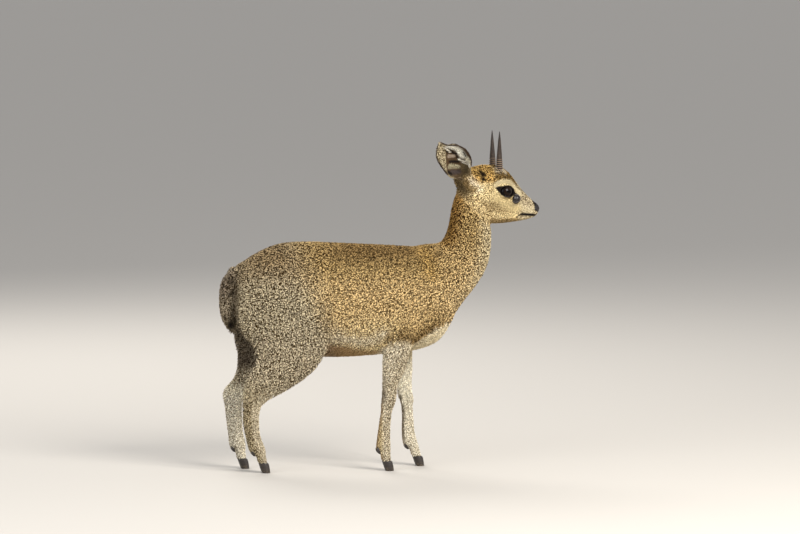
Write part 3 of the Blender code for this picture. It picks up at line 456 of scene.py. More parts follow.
# The head: pale cheeks flecked up to the jaw's root, a golden crown, a cream stripe over the eye.
face = np.stack([hx, hz], axis=1)
wash("#D0B985", head_share * smooth(hx, -0.025, 0.0))
toward_eye = hx + 0.8 * (hz - 0.565)
wash(GOLD, 0.55 * head_share * (1 - smooth(toward_eye, 0.045, 0.085)))
fleck += head_share * (1.0 - 0.30 * smooth(toward_eye, 0.040, 0.110) - fleck)
wash(TAN, head_share * smooth(hz, 0.654, 0.668) * (1 - smooth(hx, 0.054, 0.066)), 1.0)
wash(BONE, 0.7 * head_share * streak(face, ((-0.008, 0.670), (0.006, 0.657), (0.018, 0.648)), 0.009), 1.0)
# Dark grey-brown down the groove behind the ear's root: partly its hair, partly painted shade in the groove.
wash(EARTH, head_share * streak(face, ((-0.030, 0.676), (-0.020, 0.658), (-0.012, 0.640)), 0.010), 0.35)
wash("#A08F6E", 0.9 * head_share * smooth(hx + 0.3 * (hz - 0.6), 0.110, 0.130), 0.85)
wash(CREAM, 0.9 * head_share * streak(face, ((0.118, 0.600), (0.140, 0.595), (0.158, 0.590)), 0.009), 0.2)
wash(CREAM, 0.6 * head_share * streak(face, ((0.124, 0.5755), (0.140, 0.5750), (0.162, 0.5775)), 0.0050),
     0.5)
brow_line = ((0.0574, 0.6547), (0.0642, 0.6599), (0.0810, 0.6631), (0.0968, 0.6583), (0.1091, 0.6481),
             (0.1182, 0.6390), (0.1260, 0.6315))
above_brow = hz - np.interp(hx, *np.array(brow_line).T)
wash("#735A30", head_share * smooth(above_brow, 0.004, 0.009) * smooth(hx, 0.055, 0.063) *
     (1 - 0.8 * smooth(hx, 0.108, 0.125)), 1.0)
wash(GREY, 0.85 * head_share * smooth(above_brow, 0.003, 0.010) * smooth(hx, 0.112, 0.126), 0.9)
# Painted shade: surfaces of the head that face downward, under the jaw, are drawn darker olive-brown, less
# so at the muzzle's front.
wash("#8E7347", 0.85 * head_share * smooth(-normals[:, 2], 0.05, 0.6) * (1 - 0.6 * smooth(hx, 0.118, 0.134)),
     0.5)
for side, word in SIDES:
    here = smooth(-hy * side, 0.004, 0.010) * head_share
    wash(CREAM, streak(face, brow_line, 0.0046, 4) * here, 0.0)
    wash("#DDC894", 0.9 *
         streak(face, ((0.058, 0.6290), (0.075, 0.6170), (0.098, 0.6040), (0.115, 0.5990)), 0.011) * here,
         0.15)
    wash(BONE, 0.9 * streak(face, ((0.066, 0.6860), (0.080, 0.6845), (0.086, 0.6800)), 0.0035) * here, 0.2)
    for place, size in (((0.0250, 0.6850), 0.0032), ((0.0295, 0.6790), 0.0050), ((0.0290, 0.6690), 0.0040)):
        wash("#1E150D", 1.8 * spot(face, place, (size, size)) * here, 0.1)
    wash(GREY, 0.7 * spot(face, (0.1085, 0.6080), (0.009, 0.0040)) * here, 0.0)
    almond = within(face, ((0.0552, 0.6490), (0.0625, 0.6522), (0.0790, 0.6535), (0.0948, 0.6518),
                           (0.1060, 0.6450), (0.1035, 0.6340), (0.0930, 0.6268), (0.0813, 0.6262),
                           (0.0685, 0.6322)))
    front = from_line(face, ((0.0980, 0.6440), (0.1045, 0.6390), (0.1095, 0.6300)), (0.0040, 0.0030, 0.0040))
    wash(BARE_SKIN, smooth(np.maximum(almond, -front), -0.0008, 0.0008) * here, 0.0, 1.0)
    wash(BARE_SKIN, smooth(-lids[side], -0.0036, -0.0018) * here, 0.0, 1.0)
    wash(BARE_SKIN, smooth(-glands[side], -0.0140, -0.0112) * here, 0.0, 1.0)
mouth = from_line(face,
                  ((0.117, 0.5768), (0.1215, 0.5812), (0.128, 0.5848), (0.140, 0.5840), (0.1665, 0.5815)))
lip_gap = np.interp(hx, (0.115, 0.124, 0.130, 0.158, 0.166), (0.0007, 0.0014, 0.0030, 0.0032, 0.0020))
wash(BARE_SKIN, 1.3 * np.exp(-(mouth / lip_gap) ** 4) * head_share * smooth(hx, 0.112, 0.120), 0.0, 0.8)
wash(BARE_SKIN, smooth(hx + 0.35 * (hz - 0.6), 0.1622, 0.1650) * smooth(hz, 0.5910, 0.5940) * head_share,
     0.0, 1.0)

# The ears: a whitish band of down along the rear edge and a lobe along the front one, with bare skin between
# whose folds are drawn in painted shade, a dark rim, and grey-brown backs. Places are millimetres across,
# from rear to front, and along the ear.
EAR_EDGE = ((-0.08, 0.0092, 0.0100), (0.16, 0.0195, 0.0215), (0.28, 0.0278, 0.0325), (0.42, 0.0296, 0.0380),
            (0.56, 0.0300, 0.0385), (0.70, 0.0288, 0.0315), (0.78, 0.0262, 0.0215), (0.84, 0.0222, 0.0125),
            (0.93, 0.0135, 0.0062), (1.0, 0.0045, 0.0020))
# The darkest lines of the cup, in EAR_SHADE, are painted shade in its folds.
CUP_MARKS = (
    ("#6B5B3F", ((10, 5), (6, 15), (14, 22), (24, 26)), 9, 0.5),
    ("#4A403C", ((-20, 30), (-11, 21), (-5, 17)), 5.0, 0.0),
    (EAR_SHADE, ((-25, 37), (-23.5, 28)), 2.8, 0.0),
    (EAR_SHADE, ((-9, 50), (-2, 44), (6, 38)), 3.4, 0.0),
    (EAR_PALE, ((-18, 42), (-9, 34), (0, 27)), 3.8, 1.0),
    ("#B9A690", ((-3, 62), (6, 56)), 4.2, 0.5),
    ("#FFF8E4", ((14, 84), (19, 78), (23, 71), (26, 64), (25, 54), (24, 44)), 7.5, 1.0),
    ("#E6DBBE", ((30, 36), (27, 29), (24, 21)), 4.5, 1.0),
    (EAR_SHADE, ((0.4, 81), (0.4, 70)), 1.6, 0.0),
    (EAR_SHADE, ((7, 74), (10, 63), (13.5, 57)), 3.0, 0.0),
    (EAR_SHADE, ((13, 57), (10.5, 48), (12, 41)), 2.0, 0.0),
    (EAR_SHADE, ((12, 41), (20, 32.5), (23, 27)), 1.3, 0.0),
    (EAR_SHADE, ((30, 53), (29, 44), (28.5, 37)), 1.7, 0.0),
    ("#FFF6E0", ((10, 40), (17, 32.5), (24, 27)), 1.5, 1.0),
    ("#FFF6E0", ((12, 30), (18, 25), (23, 20)), 1.2, 1.0),
    ("#FFF6E0", ((3.5, 87), (4.6, 77.5), (6.0, 69)), 1.6, 1.0),
)
inner_ear = np.zeros(len(co))
ear_lie = np.zeros((len(co), 3))
ear_length = np.zeros(len(co))
for side, word in SIDES:
    here = part_share("ear_" + word)
    this_ear = ear_frame(side, word)
    seen = in_frame(co, this_ear)
    facing = normals @ np.array(this_ear.to_3x3())
    across, up_ear = seen[:, 0] * side * 1000, seen[:, 2] / EAR_LENGTH
    station, rear, front = np.array(EAR_EDGE).T
    edge = np.where(across > 0, np.interp(up_ear, station, front), np.interp(up_ear, station, rear)) * 1000
    turned_in = facing[:, 0] * -np.sign(seen[:, 0]) * smooth(np.abs(across), 6, 20) - facing[:, 1]
    inside = smooth(turned_in, -0.05, 0.35) * smooth(up_ear, -0.05, 0.05) * here
    wash(EAR_BACK, here, 0.55)
    wash(EAR_BROWN, inside, 0.0, 0.3)
    rear_edge = np.interp(up_ear, (0.30, 0.364, 0.425, 0.50, 0.628, 0.70, 0.788, 0.84),
                          (-30, -28, -23.8, -19.3, -9.2, -4, 2, 9))
    white = smooth(rear_edge - across, -1.2, 1.2) * smooth(up_ear, 0.24, 0.30) * inside
    wash(EAR_DOWN, white, 0.75)
    cup = np.stack([across, seen[:, 2] * 1000], axis=1)
    for colour, line, width, haired in CUP_MARKS:
        share = streak(cup, line, width, 4) * inside
        wash(colour, share, 0.25 * haired)
        white = white + (haired - white) * share
    bare = np.where(here > 0.5, 0.75 * inside * (1 - white), bare)
    rim = here * smooth(np.abs(across) - edge, -2.0, -0.6) * smooth(up_ear, 0.1, 0.2)
    low_rear = (across < 0) * (1 - smooth(up_ear, 0.30, 0.36))
    wash(SMOKE, rim * (1 - low_rear), 0.1)
    wash(EAR_DOWN, rim * low_rear, 0.1)
    inner_ear = np.maximum(inner_ear, inside)
    ahead = np.stack([-np.sign(across) * 0.40 * side, np.zeros(len(co)), np.ones(len(co))], axis=1)
    out_lie = np.tile([0.0, 0.0, 1.0], (len(co), 1))
    mixed = out_lie + (ahead - out_lie) * inside[:, None]
    ear_lie += here[:, None] * (mixed @ np.array(this_ear.to_3x3()).T)
    ear_length += here * (0.0036 + 0.0034 * white * inside)


def write_marks(mesh, colour, hair):
    """Keeps the markings on a mesh: its coat colour, and how far along a hair each point lies, the
    hair's own shade, how strong the flecks are and how fine."""
    for name, rows in (("Coat", colour), ("Hair", hair)):
        kept = mesh.attributes.new(name, "FLOAT_COLOR", "POINT")
        kept.data.foreach_set("color",
                              np.column_stack([rows, np.ones(len(rows))])[:, :4].astype(np.float32).ravel())


fineness = head_share * smooth(toward_eye, -0.03, 0.03) * smooth(-hz, -0.668, -0.655)
fineness = np.clip(fineness + pale_fore + hind * smooth(-z, -0.205, -0.180), 0, 1)
# The skin under the coat gets 0.45 along a hair, so it takes part of the painted shade of the locks' roots.
skin_hair = np.column_stack([np.full(len(co), 0.45), np.full(len(co), 0.5), fleck, fineness])
write_marks(skin.data, np.clip(coat_colour, 0, 1), np.clip(skin_hair, 0, 1))


def add(tree, kind, settings=(), **links):
    """Adds a node to a material with its settings, and links other nodes' outputs to its inputs."""
    made = tree.nodes.new(kind)
    for name, value in dict(settings).items():
        if hasattr(made, name):
            setattr(made, name, value)
        else:
            made.inputs[int(name) if name.isdigit() else name].default_value = value
    for name, output in links.items():
        tree.links.new(output, made.inputs[int(name[1:]) if name[0] == "_" else name.replace("_", " ")])
    return made


def new_material(name, roughness, specular=0.5, **more):
    """A material with its plain surface, for its nodes to be added to."""
    made = bpy.data.materials.new(name)
    made.use_nodes = True
    surface = made.node_tree.nodes["Principled BSDF"]
    surface.inputs["Roughness"].default_value = roughness
    surface.inputs["Specular IOR Level"].default_value = specular
    for key, value in more.items():
        surface.inputs[key.replace("_", " ")].default_value = value
    return made, made.node_tree, surface


def tinted(tree, colour, by):
    """A colour times another, which may be a link or a plain colour."""
    made = add(tree, "ShaderNodeMix", {"data_type": "RGBA", "blend_type": "MULTIPLY", "Factor": 1.0},
               _6=colour)
    if isinstance(by, tuple):
        made.inputs[7].default_value = (*by, 1)
    else:
        tree.links.new(by, made.inputs[7])
    return made.outputs[2]


def faded(tree, share, low, high):
    """A mix of two colours by a share. Either colour may be a link or a hex colour."""
    made = add(tree, "ShaderNodeMix", {"data_type": "RGBA"}, _0=share)
    for socket, colour in ((6, low), (7, high)):
        if isinstance(colour, str):
            made.inputs[socket].default_value = (*linear(colour), 1)
        else:
            tree.links.new(colour, made.inputs[socket])
    return made.outputs[2]


def ranged(tree, value, low, high, to_low=0.0, to_high=1.0):
    """A number carried from one range to another, with an easy rise."""
    settings = {"interpolation_type": "SMOOTHSTEP", "From Min": low, "From Max": high, "To Min": to_low,
                "To Max": to_high}
    return add(tree, "ShaderNodeMapRange", settings, Value=value).outputs["Result"]


# Hollow, coarse guard hair: each is pale at its root and tip with dark bands between, which gives
# cream flecks on dark brown, 3 mm across on the body and 2.5 mm on the face and lower legs. Matt,
# with hardly any gloss.
FLECK, FINE_FLECK = 0.0030, 0.0025
coat, tree, surface = new_material("banded_guard_hair", 0.85, 0.10)
where = add(tree, "ShaderNodeTexCoord").outputs["Object"]
marks = add(tree, "ShaderNodeAttribute", {"attribute_name": "Coat"}).outputs["Color"]
hair = add(tree, "ShaderNodeAttribute", {"attribute_name": "Hair"}).outputs
along, shade, strength = add(tree, "ShaderNodeSeparateColor", Color=hair["Color"]).outputs
broad, fine = [add(tree, "ShaderNodeTexVoronoi", {"Scale": 1 / size}, Vector=where).outputs["Distance"]
               for size in (FLECK, FINE_FLECK)]
banding = add(tree, "ShaderNodeMix", {"data_type": "FLOAT"}, _0=hair["Alpha"], _2=broad, _3=fine).outputs[0]
bands = ranged(tree, banding, 0.62, 0.42)
flecked = faded(tree, bands, tinted(tree, marks, (0.12, 0.07, 0.0)), tinted(tree, marks, (2.12, 2.28, 2.68)))
plain = faded(tree, strength, marks, flecked)
# Each lock is drawn darker towards its root, a painted shade where the locks lie over one another, times the
# lock's own random tone.
level = add(tree, "ShaderNodeMath", {"operation": "MULTIPLY"}, _0=ranged(tree, along, 0.0, 0.8, 0.55, 1.0),
            _1=ranged(tree, shade, 0.0, 1.0, 0.82, 1.18)).outputs[0]
grey_level = add(tree, "ShaderNodeCombineColor", Red=level, Green=level, Blue=level).outputs[0]
tree.links.new(tinted(tree, plain, grey_level), surface.inputs["Base Color"])
nap = add(tree, "ShaderNodeTexNoise", {"Scale": 1 / 0.0011, "Detail": 2.0}, Vector=where).outputs["Fac"]
ruffle = add(tree, "ShaderNodeBump", {"Strength": 0.35, "Distance": 0.0008}, Height=nap).outputs["Normal"]
tree.links.new(ruffle, surface.inputs["Normal"])
skin.data.materials.clear()
skin.data.materials.append(coat)
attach(skin, "root")
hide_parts(*FLESH)


# ---- Eyes -------------------------------------------------------------------------------------
# Large wet eyeballs, clear cornea over a dark brown iris with a level bar of a pupil. The cornea
# bulges a little, and the whole is polished and wet.
EYE_RADIUS = 0.0178
CORNEA_RISE = 0.035


def placed_in(tree, matrix):
    """Coordinates of a piece's own, from those of the buck."""
    inverse = matrix.inverted()
    where = add(tree, "ShaderNodeTexCoord").outputs["Object"]
    settings = {"Location": inverse.to_translation(), "Rotation": inverse.to_euler()}
    return add(tree, "ShaderNodeMapping", settings, Vector=where).outputs["Vector"]


def spun_frame(matrix):
    """The same place and outward axis with right-handed axes, so that nothing is mirrored."""
    along, _, out = [matrix.to_3x3().col[k] for k in range(3)]
    axes = Matrix((along, out.cross(along), out)).transposed().to_4x4()
    return Matrix.Translation(matrix.to_translation()) @ axes


for side, word in SIDES:
    eye_at = spun_frame(eye_frame(side))
    bm = bmesh.new()
    bmesh.ops.create_uvsphere(bm, u_segments=72, v_segments=48, radius=EYE_RADIUS)
    for vert in bm.verts:
        tilt = vert.co.normalized().angle(Vector((0, 0, 1)))
        vert.co *= 1 + CORNEA_RISE * math.exp(-(tilt / 0.6) ** 2)
    bmesh.ops.transform(bm, matrix=eye_at, verts=bm.verts)
    eye = shown("eyeball_" + word, bm)
    wet, tree, surface = new_material("wet_cornea_" + word, 0.05, 0.10)
    own = placed_in(tree, eye_at)
    flat = add(tree, "ShaderNodeVectorMath", {"operation": "MULTIPLY", "1": (1, 1, 0)}, _0=own).outputs[0]
    pupil_shape = add(tree, "ShaderNodeVectorMath",
                      {"operation": "MULTIPLY", "1": (1 / 0.0066, 1 / 0.0036, 0)}, _0=own)
    pupil = add(tree, "ShaderNodeVectorMath", {"operation": "LENGTH"},
                _0=pupil_shape.outputs[0]).outputs["Value"]
    radius = add(tree, "ShaderNodeVectorMath", {"operation": "LENGTH"}, _0=flat).outputs["Value"]
    spokes = add(tree, "ShaderNodeTexNoise", {"Scale": 900.0, "Detail": 3.0}, Vector=own).outputs["Fac"]
    iris = faded(tree, spokes, "#0E0805", "#1D110A")
    ringed = faded(tree, ranged(tree, radius, 0.0098, 0.0122), iris, "#080504")
    tree.links.new(faded(tree, ranged(tree, pupil, 0.9, 1.15), "#040303", ringed),
                   surface.inputs["Base Color"])
    eye.data.materials.append(wet)
    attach(eye, "root")
    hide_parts("eye_" + word)


# ---- Lids and lashes --------------------------------------------------------------------------
# The margins of the lids: a rolled edge of bare, dark, slightly greasy skin that hugs the eyeball,
# thicker at its corners, with a row of lashes along the upper one.
MARGIN, LASH_LENGTH, LASHES = 0.00125, 0.0062, 30


def tube(name, points, radii, closed=False, sides=3):
    """A round rod through points, with its own radius at each, as a mesh."""
    curve = bpy.data.curves.new(name, "CURVE")
    curve.dimensions = "3D"
    curve.bevel_depth = 1.0
    curve.bevel_resolution = sides
    curve.use_fill_caps = not closed
    line = curve.splines.new("POLY")
    line.points.add(len(points) - 1)
    line.use_cyclic_u = closed
    for spot_on, place, radius in zip(line.points, points, radii):
        spot_on.co = (*place, 1)
        spot_on.radius = radius
    rod = stood(name, curve)
    mesh = bpy.data.meshes.new_from_object(rod.evaluated_get(bpy.context.evaluated_depsgraph_get()))
    bm = bmesh.new()
    bm.from_mesh(mesh)
    bpy.data.objects.remove(rod)
    bpy.data.meshes.remove(mesh)
    return bm


def on_almond(turn, growth):
    """A place on the edge between the lids, in the eye's frame, at an angle round it."""
    c, s = math.cos(turn), math.sin(turn)
    return Vector(((LID_LENGTH + growth) * math.copysign(abs(c) ** 0.86, c),
                   (LID_HEIGHT + growth) * math.copysign(abs(s) ** 1.12, s), 0))


def on_eyeball(place, clear):
    """The same place lifted on to the eyeball, or the plane beyond its edge."""
    rise = max(EYE_RADIUS ** 2 - place.length_squared, (0.0042) ** 2)
    return Vector((place.x, place.y, math.sqrt(rise) + clear))


lid_skin, tree, surface = new_material("bare_lid_skin", 0.42, 0.5)
where = add(tree, "ShaderNodeTexCoord").outputs["Object"]
creases = add(tree, "ShaderNodeTexNoise", {"Scale": 1 / 0.0008, "Detail": 2.0}, Vector=where).outputs["Fac"]
tree.links.new(faded(tree, creases, "#17100D", "#2E231C"), surface.inputs["Base Color"])
wrinkle = add(tree, "ShaderNodeBump", {"Strength": 0.5, "Distance": 0.0004},
              Height=creases).outputs["Normal"]
tree.links.new(wrinkle, surface.inputs["Normal"])
for side, word in SIDES:
    frame_here = eye_frame(side)
    turns = [2 * math.pi * k / 96 for k in range(96)]
    line = [frame_here @ on_eyeball(on_almond(turn, MARGIN * 0.7), MARGIN * 0.35) for turn in turns]
    pieces = [tube("margin", line, [MARGIN * (1 + 0.35 * abs(math.cos(turn)) ** 6) for turn in turns],
                   closed=True)]
    for k in range(LASHES):
        turn = math.radians(22 + 136 * k / (LASHES - 1))
        root = on_eyeball(on_almond(turn, MARGIN * 1.1), MARGIN * 0.9)
        lean = Vector((math.cos(turn) * 0.75 - 0.1, 0.35, 1.0)).normalized()
        long = LASH_LENGTH * (0.75 + 0.25 * math.sin(turn) + 0.12 * math.sin(k * 2.4))
        curl = [root + lean * (long * t) + Vector((0, 0.0022 * t * t, -0.0012 * t * t))
                for t in (0, 0.35, 0.7, 1.0)]
        pieces.append(tube("lash", [frame_here @ p for p in curl], [0.00022, 0.00019, 0.00013, 0.00004],
                           sides=0))
    margin = gathered("lid_margins_" + word, pieces)
    margin.data.materials.append(lid_skin)
    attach(margin, "root")


# ---- Face glands ------------------------------------------------------------------------------
# The scent gland in front of each eye: a bulging black pad in a bare rim, split by a shallow cleft
# and wet with its own tar, so that it shines.
GLAND_SIZE = (0.0098, 0.0086, 0.0048)


def ringed_by(centre, out, size, count=40):
    """Places round an oval that faces outwards, level along the head."""
    level = (Vector((math.cos(HEAD_TURN), math.sin(HEAD_TURN), 0)) - out * out.x).normalized()
    level = (level - out * level.dot(out)).normalized()
    upright = out.cross(level)
    return [centre + level * (size[0] * math.cos(2 * math.pi * k / count)) +
            upright * (size[1] * math.sin(2 * math.pi * k / count)) for k in range(count)], level, upright


tar, tree, surface = new_material("tarry_gland_skin", 0.17, 0.45)
where = add(tree, "ShaderNodeTexCoord").outputs["Object"]
pits = add(tree, "ShaderNodeTexVoronoi", {"Scale": 1 / 0.0011}, Vector=where).outputs["Distance"]
tree.links.new(faded(tree, pits, "#0A0908", "#211A17"), surface.inputs["Base Color"])
pitted = add(tree, "ShaderNodeBump", {"Strength": 0.25, "Distance": 0.0004}, Height=pits).outputs["Normal"]
tree.links.new(pitted, surface.inputs["Normal"])
for side, word in SIDES:
    low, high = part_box("gland_" + word)
    centre = (low + high) / 2
    near = (glands[side] < 0.022) & (glands[side] > 0.014)
    out = Vector(normals[near].mean(axis=0)).normalized()
    ring, level, upright = ringed_by(centre + out * 0.0020, out,
                                     (GLAND_SIZE[0] + 0.0004, GLAND_SIZE[1] + 0.0004))
    bm = bmesh.new()
    bmesh.ops.create_uvsphere(bm, u_segments=56, v_segments=36, radius=1.0)
    for vert in bm.verts:
        cleft = math.exp(-(vert.co.x / 0.10) ** 2) * max(vert.co.z, 0) * smooth(1 - abs(vert.co.y), 0.1, 0.5)
        vert.co = Vector([a * b for a, b in zip(vert.co, GLAND_SIZE)]) - Vector((0, 0, 0.0012 * cleft))
    axes = Matrix((level, upright, out)).transposed().to_4x4()
    bmesh.ops.transform(bm, matrix=Matrix.Translation(centre + out * 0.0004) @ axes, verts=bm.verts)
    bmesh.ops.recalc_face_normals(bm, faces=bm.faces)
    pad = shown("face_gland_" + word, bm)
    pad.data.materials.append(tar)
    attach(pad, "root")
    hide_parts("gland_" + word)
    rim = gathered("gland_rim_" + word, [tube("rim", ring, [0.0012] * len(ring), closed=True)])
    rim.data.materials.append(lid_skin)
    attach(rim, "root")


# ---- Nose pad ---------------------------------------------------------------------------------
# The bare tip of the nose: black, pebbled, moist skin round the comma-shaped nostrils.
nose = remeshed(gathered("nose_pad", [merged("nose", 0.0004)]), 0.00045, 5)
leather, tree, surface = new_material("moist_nose_skin", 0.40, 0.3)
where = add(tree, "ShaderNodeTexCoord").outputs["Object"]
pebbles = add(tree, "ShaderNodeTexVoronoi", {"Scale": 1 / 0.0012, "feature": "SMOOTH_F1"},
              Vector=where).outputs["Distance"]
tree.links.new(faded(tree, pebbles, "#262120", "#0C0A0A"), surface.inputs["Base Color"])
pebbled = add(tree, "ShaderNodeBump", {"Strength": 0.6, "Distance": 0.0004, "invert": True}, Height=pebbles)
tree.links.new(pebbled.outputs["Normal"], surface.inputs["Normal"])
nose.data.materials.clear()
nose.data.materials.append(leather)
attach(nose, "root")
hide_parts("nose")


# ---- Horns ------------------------------------------------------------------------------------
# Straight, slender spikes of horn, round in section, with four worn rings low down and fine
# lengthwise grain above them. Dark brown, paler where the rings have worn, smoother at the tip.
HORN_PLACE, HORN_LEAN, HORN_LENGTH = Vector((0.071, -0.0205, 0.682)), math.radians(1.5), 0.097
HORN_PROFILE = ((0.0, 0.0083), (0.010, 0.0080), (0.028, 0.0070), (0.052, 0.0050), (0.074, 0.0033),
                (0.089, 0.0016), (0.0955, 0.0007))
HORN_RINGS = (0.0135, 0.0180, 0.0225, 0.0272, 0.0315)
RING_RISE = (0.0010, 0.0012, 0.0011, 0.0009, 0.0004)
RING_PITCH, RINGED_TO, TIP_FROM = 0.00455, 0.036, 0.0955
for side, word in SIDES:
    bm = bmesh.new()
    heights = np.concatenate([np.arange(0.0, RINGED_TO, 0.0004), np.arange(RINGED_TO, TIP_FROM, 0.0018),
                              [TIP_FROM]])
    outline = []
    for height in heights:
        radius = np.interp(height, *np.array(HORN_PROFILE).T)
        for place, rise in zip(HORN_RINGS, RING_RISE):
            off_crest, off_groove = (height - place) / 0.0010, (height - place - 0.0021) / 0.0008
            radius += rise * (math.exp(-off_crest ** 2) - 0.35 * math.exp(-off_groove ** 2))
        outline.append(bm.verts.new((radius, 0, height)))
    outline.append(bm.verts.new((0, 0, HORN_LENGTH)))
    outline = [bm.edges.new(pair) for pair in zip(outline, outline[1:])]
    bmesh.ops.spin(bm, geom=outline, cent=(0, 0, 0), axis=(0, 0, 1), angle=2 * math.pi, steps=56,
                   use_merge=True)
    bmesh.ops.remove_doubles(bm, verts=bm.verts, dist=1e-6)
    bmesh.ops.holes_fill(bm, edges=[edge for edge in bm.edges if edge.is_boundary], sides=0)
    for vert in bm.verts:
        turn = math.atan2(vert.co.y, vert.co.x)
        worn = 1 + 0.020 * math.sin(3 * turn + vert.co.z * 60)
        worn += 0.008 * math.sin(23 * turn) * smooth(vert.co.z, 0.028, 0.034)
        vert.co.x, vert.co.y = vert.co.x * worn, vert.co.y * worn
    bmesh.ops.recalc_face_normals(bm, faces=bm.faces)
    horn_at = HEAD @ Matrix.Translation((HORN_PLACE.x, HORN_PLACE.y * side, HORN_PLACE.z))
    horn_at = horn_at @ Matrix.Rotation(HORN_LEAN * side, 4, "X")
    bmesh.ops.transform(bm, matrix=horn_at, verts=bm.verts)
    horn = shown("horn_sheath_" + word, bm)
    keratin, tree, surface = new_material("horn_keratin_" + word, 0.45, 0.22)
    own = placed_in(tree, horn_at)
    grained = add(tree, "ShaderNodeVectorMath",
                  {"operation": "MULTIPLY", "1": (1 / 0.0009, 1 / 0.0009, 1 / 0.02)}, _0=own)
    grain = add(tree, "ShaderNodeTexNoise", {"Scale": 1.0, "Detail": 3.0},
                Vector=grained.outputs[0]).outputs["Fac"]
    upward = add(tree, "ShaderNodeSeparateXYZ", Vector=own).outputs["Z"]
    worn = add(tree, "ShaderNodeTexNoise", {"Scale": 1 / 0.006, "Detail": 2.0}, Vector=own).outputs["Fac"]
    base = faded(tree, grain, "#110D0A", "#3A2E25")
    aged = faded(tree, ranged(tree, worn, 0.45, 0.75, 0.0, 0.4), base, "#5C4A3B")
    beat = add(tree, "ShaderNodeMath", {"operation": "MULTIPLY", "1": 2 * math.pi / RING_PITCH},
               _0=upward).outputs[0]
    crest = add(tree, "ShaderNodeMath", {"operation": "COSINE"}, _0=add(
        tree, "ShaderNodeMath", {"operation": "SUBTRACT", "1": 2 * math.pi * HORN_RINGS[0] / RING_PITCH},
        _0=beat).outputs[0]).outputs[0]
    ringed = faded(tree, ranged(tree, crest, -0.5, 0.9), "#0B0908", "#725F4E")
    low_down = faded(tree, ranged(tree, upward, 0.0295, 0.0345), ringed, aged)
    tree.links.new(faded(tree, ranged(tree, upward, 0.06, 0.095), low_down, "#211B17"),
                   surface.inputs["Base Color"])
    ridged = add(tree, "ShaderNodeBump", {"Strength": 0.5, "Distance": 0.0004},
                 Height=grain).outputs["Normal"]
    tree.links.new(ridged, surface.inputs["Normal"])
    horn.data.materials.append(keratin)
    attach(horn, "root")
    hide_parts("horn_" + word)


# ---- Hooves and dewclaws ----------------------------------------------------------------------
# Each foot stands on the tips of two blunt peg-like hooves of black horn with faint growth rings,
# dusty towards the ground, and carries two small dewclaws behind.
hoof_horn, tree, surface = new_material("hoof_keratin", 0.44, 0.45)
where = add(tree, "ShaderNodeTexCoord").outputs["Object"]
level = add(tree, "ShaderNodeSeparateXYZ", Vector=where).outputs["Z"]
rings = add(tree, "ShaderNodeTexWave",
            {"Scale": 1 / 0.011, "Distortion": 1.5, "Detail": 2.0, "bands_direction": "Z"},
            Vector=where).outputs["Fac"]
dust = add(tree, "ShaderNodeTexNoise", {"Scale": 1 / 0.004, "Detail": 3.0}, Vector=where).outputs["Fac"]
dark_horn = faded(tree, rings, "#1C1815", "#332B25")
dusty = faded(tree, ranged(tree, dust, 0.4, 0.75, 0.0, 0.55), dark_horn, "#75654F")
tree.links.new(faded(tree, ranged(tree, level, 0.002, 0.014), dusty, dark_horn),
               surface.inputs["Base Color"])
grown = add(tree, "ShaderNodeBump", {"Strength": 0.4, "Distance": 0.0004}, Height=rings).outputs["Normal"]
tree.links.new(grown, surface.inputs["Normal"])
for end, word in LEGS:
    parts = [f"{kind}_{end}_{word}_{place}" for kind in ("hoof", "dewclaw") for place in ("inner", "outer")]
    feet = remeshed(gathered(f"hooves_{end}_{word}", [merged(part, 0.0003) for part in parts]), 0.0007, 3)
    feet.data.materials.clear()
    feet.data.materials.append(hoof_horn)
    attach(feet, "root")
    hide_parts(*parts)


# ---- Coat -------------------------------------------------------------------------------------
# The buck's own hair, in flat pointed locks of a few hollow guard hairs each. Every lock roots in the
# skin, lies back along the body, and leans with its neighbours into small clumps. The longest are on
# the trunk and neck, the shortest on the face and feet.
LIE = {
    "torso": (-0.86, 0.0, -0.42), "neck": (-0.42, 0.0, -0.90), "head": (-1.0, 0.0, 0.15),
    "tail": (0.05, 0.0, -1.0),
    "fore_leg": (-0.30, 0.0, -0.95), "hind_leg": (-0.52, 0.0, -0.85), "fore_shank": (-0.12, 0.0, -1.0),
    "hind_shank": (-0.15, 0.0, -1.0), "ear": (0.0, 0.0, 1.0),
}
LOCK_LENGTH = {
    "torso": 0.0125, "neck": 0.0105, "head": 0.0042, "tail": 0.0150, "ear": 0.0040, "fore_leg": 0.0095,
    "hind_leg": 0.0110, "fore_shank": 0.0056, "hind_shank": 0.0062,
}
RANDOM_SEED = 20
LOCK_FACES = ((0, 1, 4), (0, 4, 2), (1, 3, 4), (2, 4, 5), (4, 3, 5), (0, 2, 3), (0, 3, 1), (2, 5, 3))
LOCK_MAP = ((0, 0), (1, 0), (0, 0.5), (1, 0.5), (0.5, 0.5), (0.5, 1))
LOCK_PATCH = 0.003
TRUNK_SPLIT = -0.075  # where the trunk's coat is parted into front and rear pieces


def unit(rows):
    return rows / np.maximum(np.linalg.norm(rows, axis=1, keepdims=True), 1e-9)


def laid(directions, upright):
    """Directions pressed flat on the surface."""
    return unit(directions - upright * (directions * upright).sum(axis=1, keepdims=True))


skin.data.calc_loop_triangles()
corners = rows_of(skin.data.loop_triangles, "vertices", 3, int)
face_part = label[corners[:, 0]]
face_middle = co[corners].mean(axis=1)
spans = np.cross(co[corners[:, 1]] - co[corners[:, 0]], co[corners[:, 2]] - co[corners[:, 0]])
face_area = np.linalg.norm(spans, axis=1) / 2

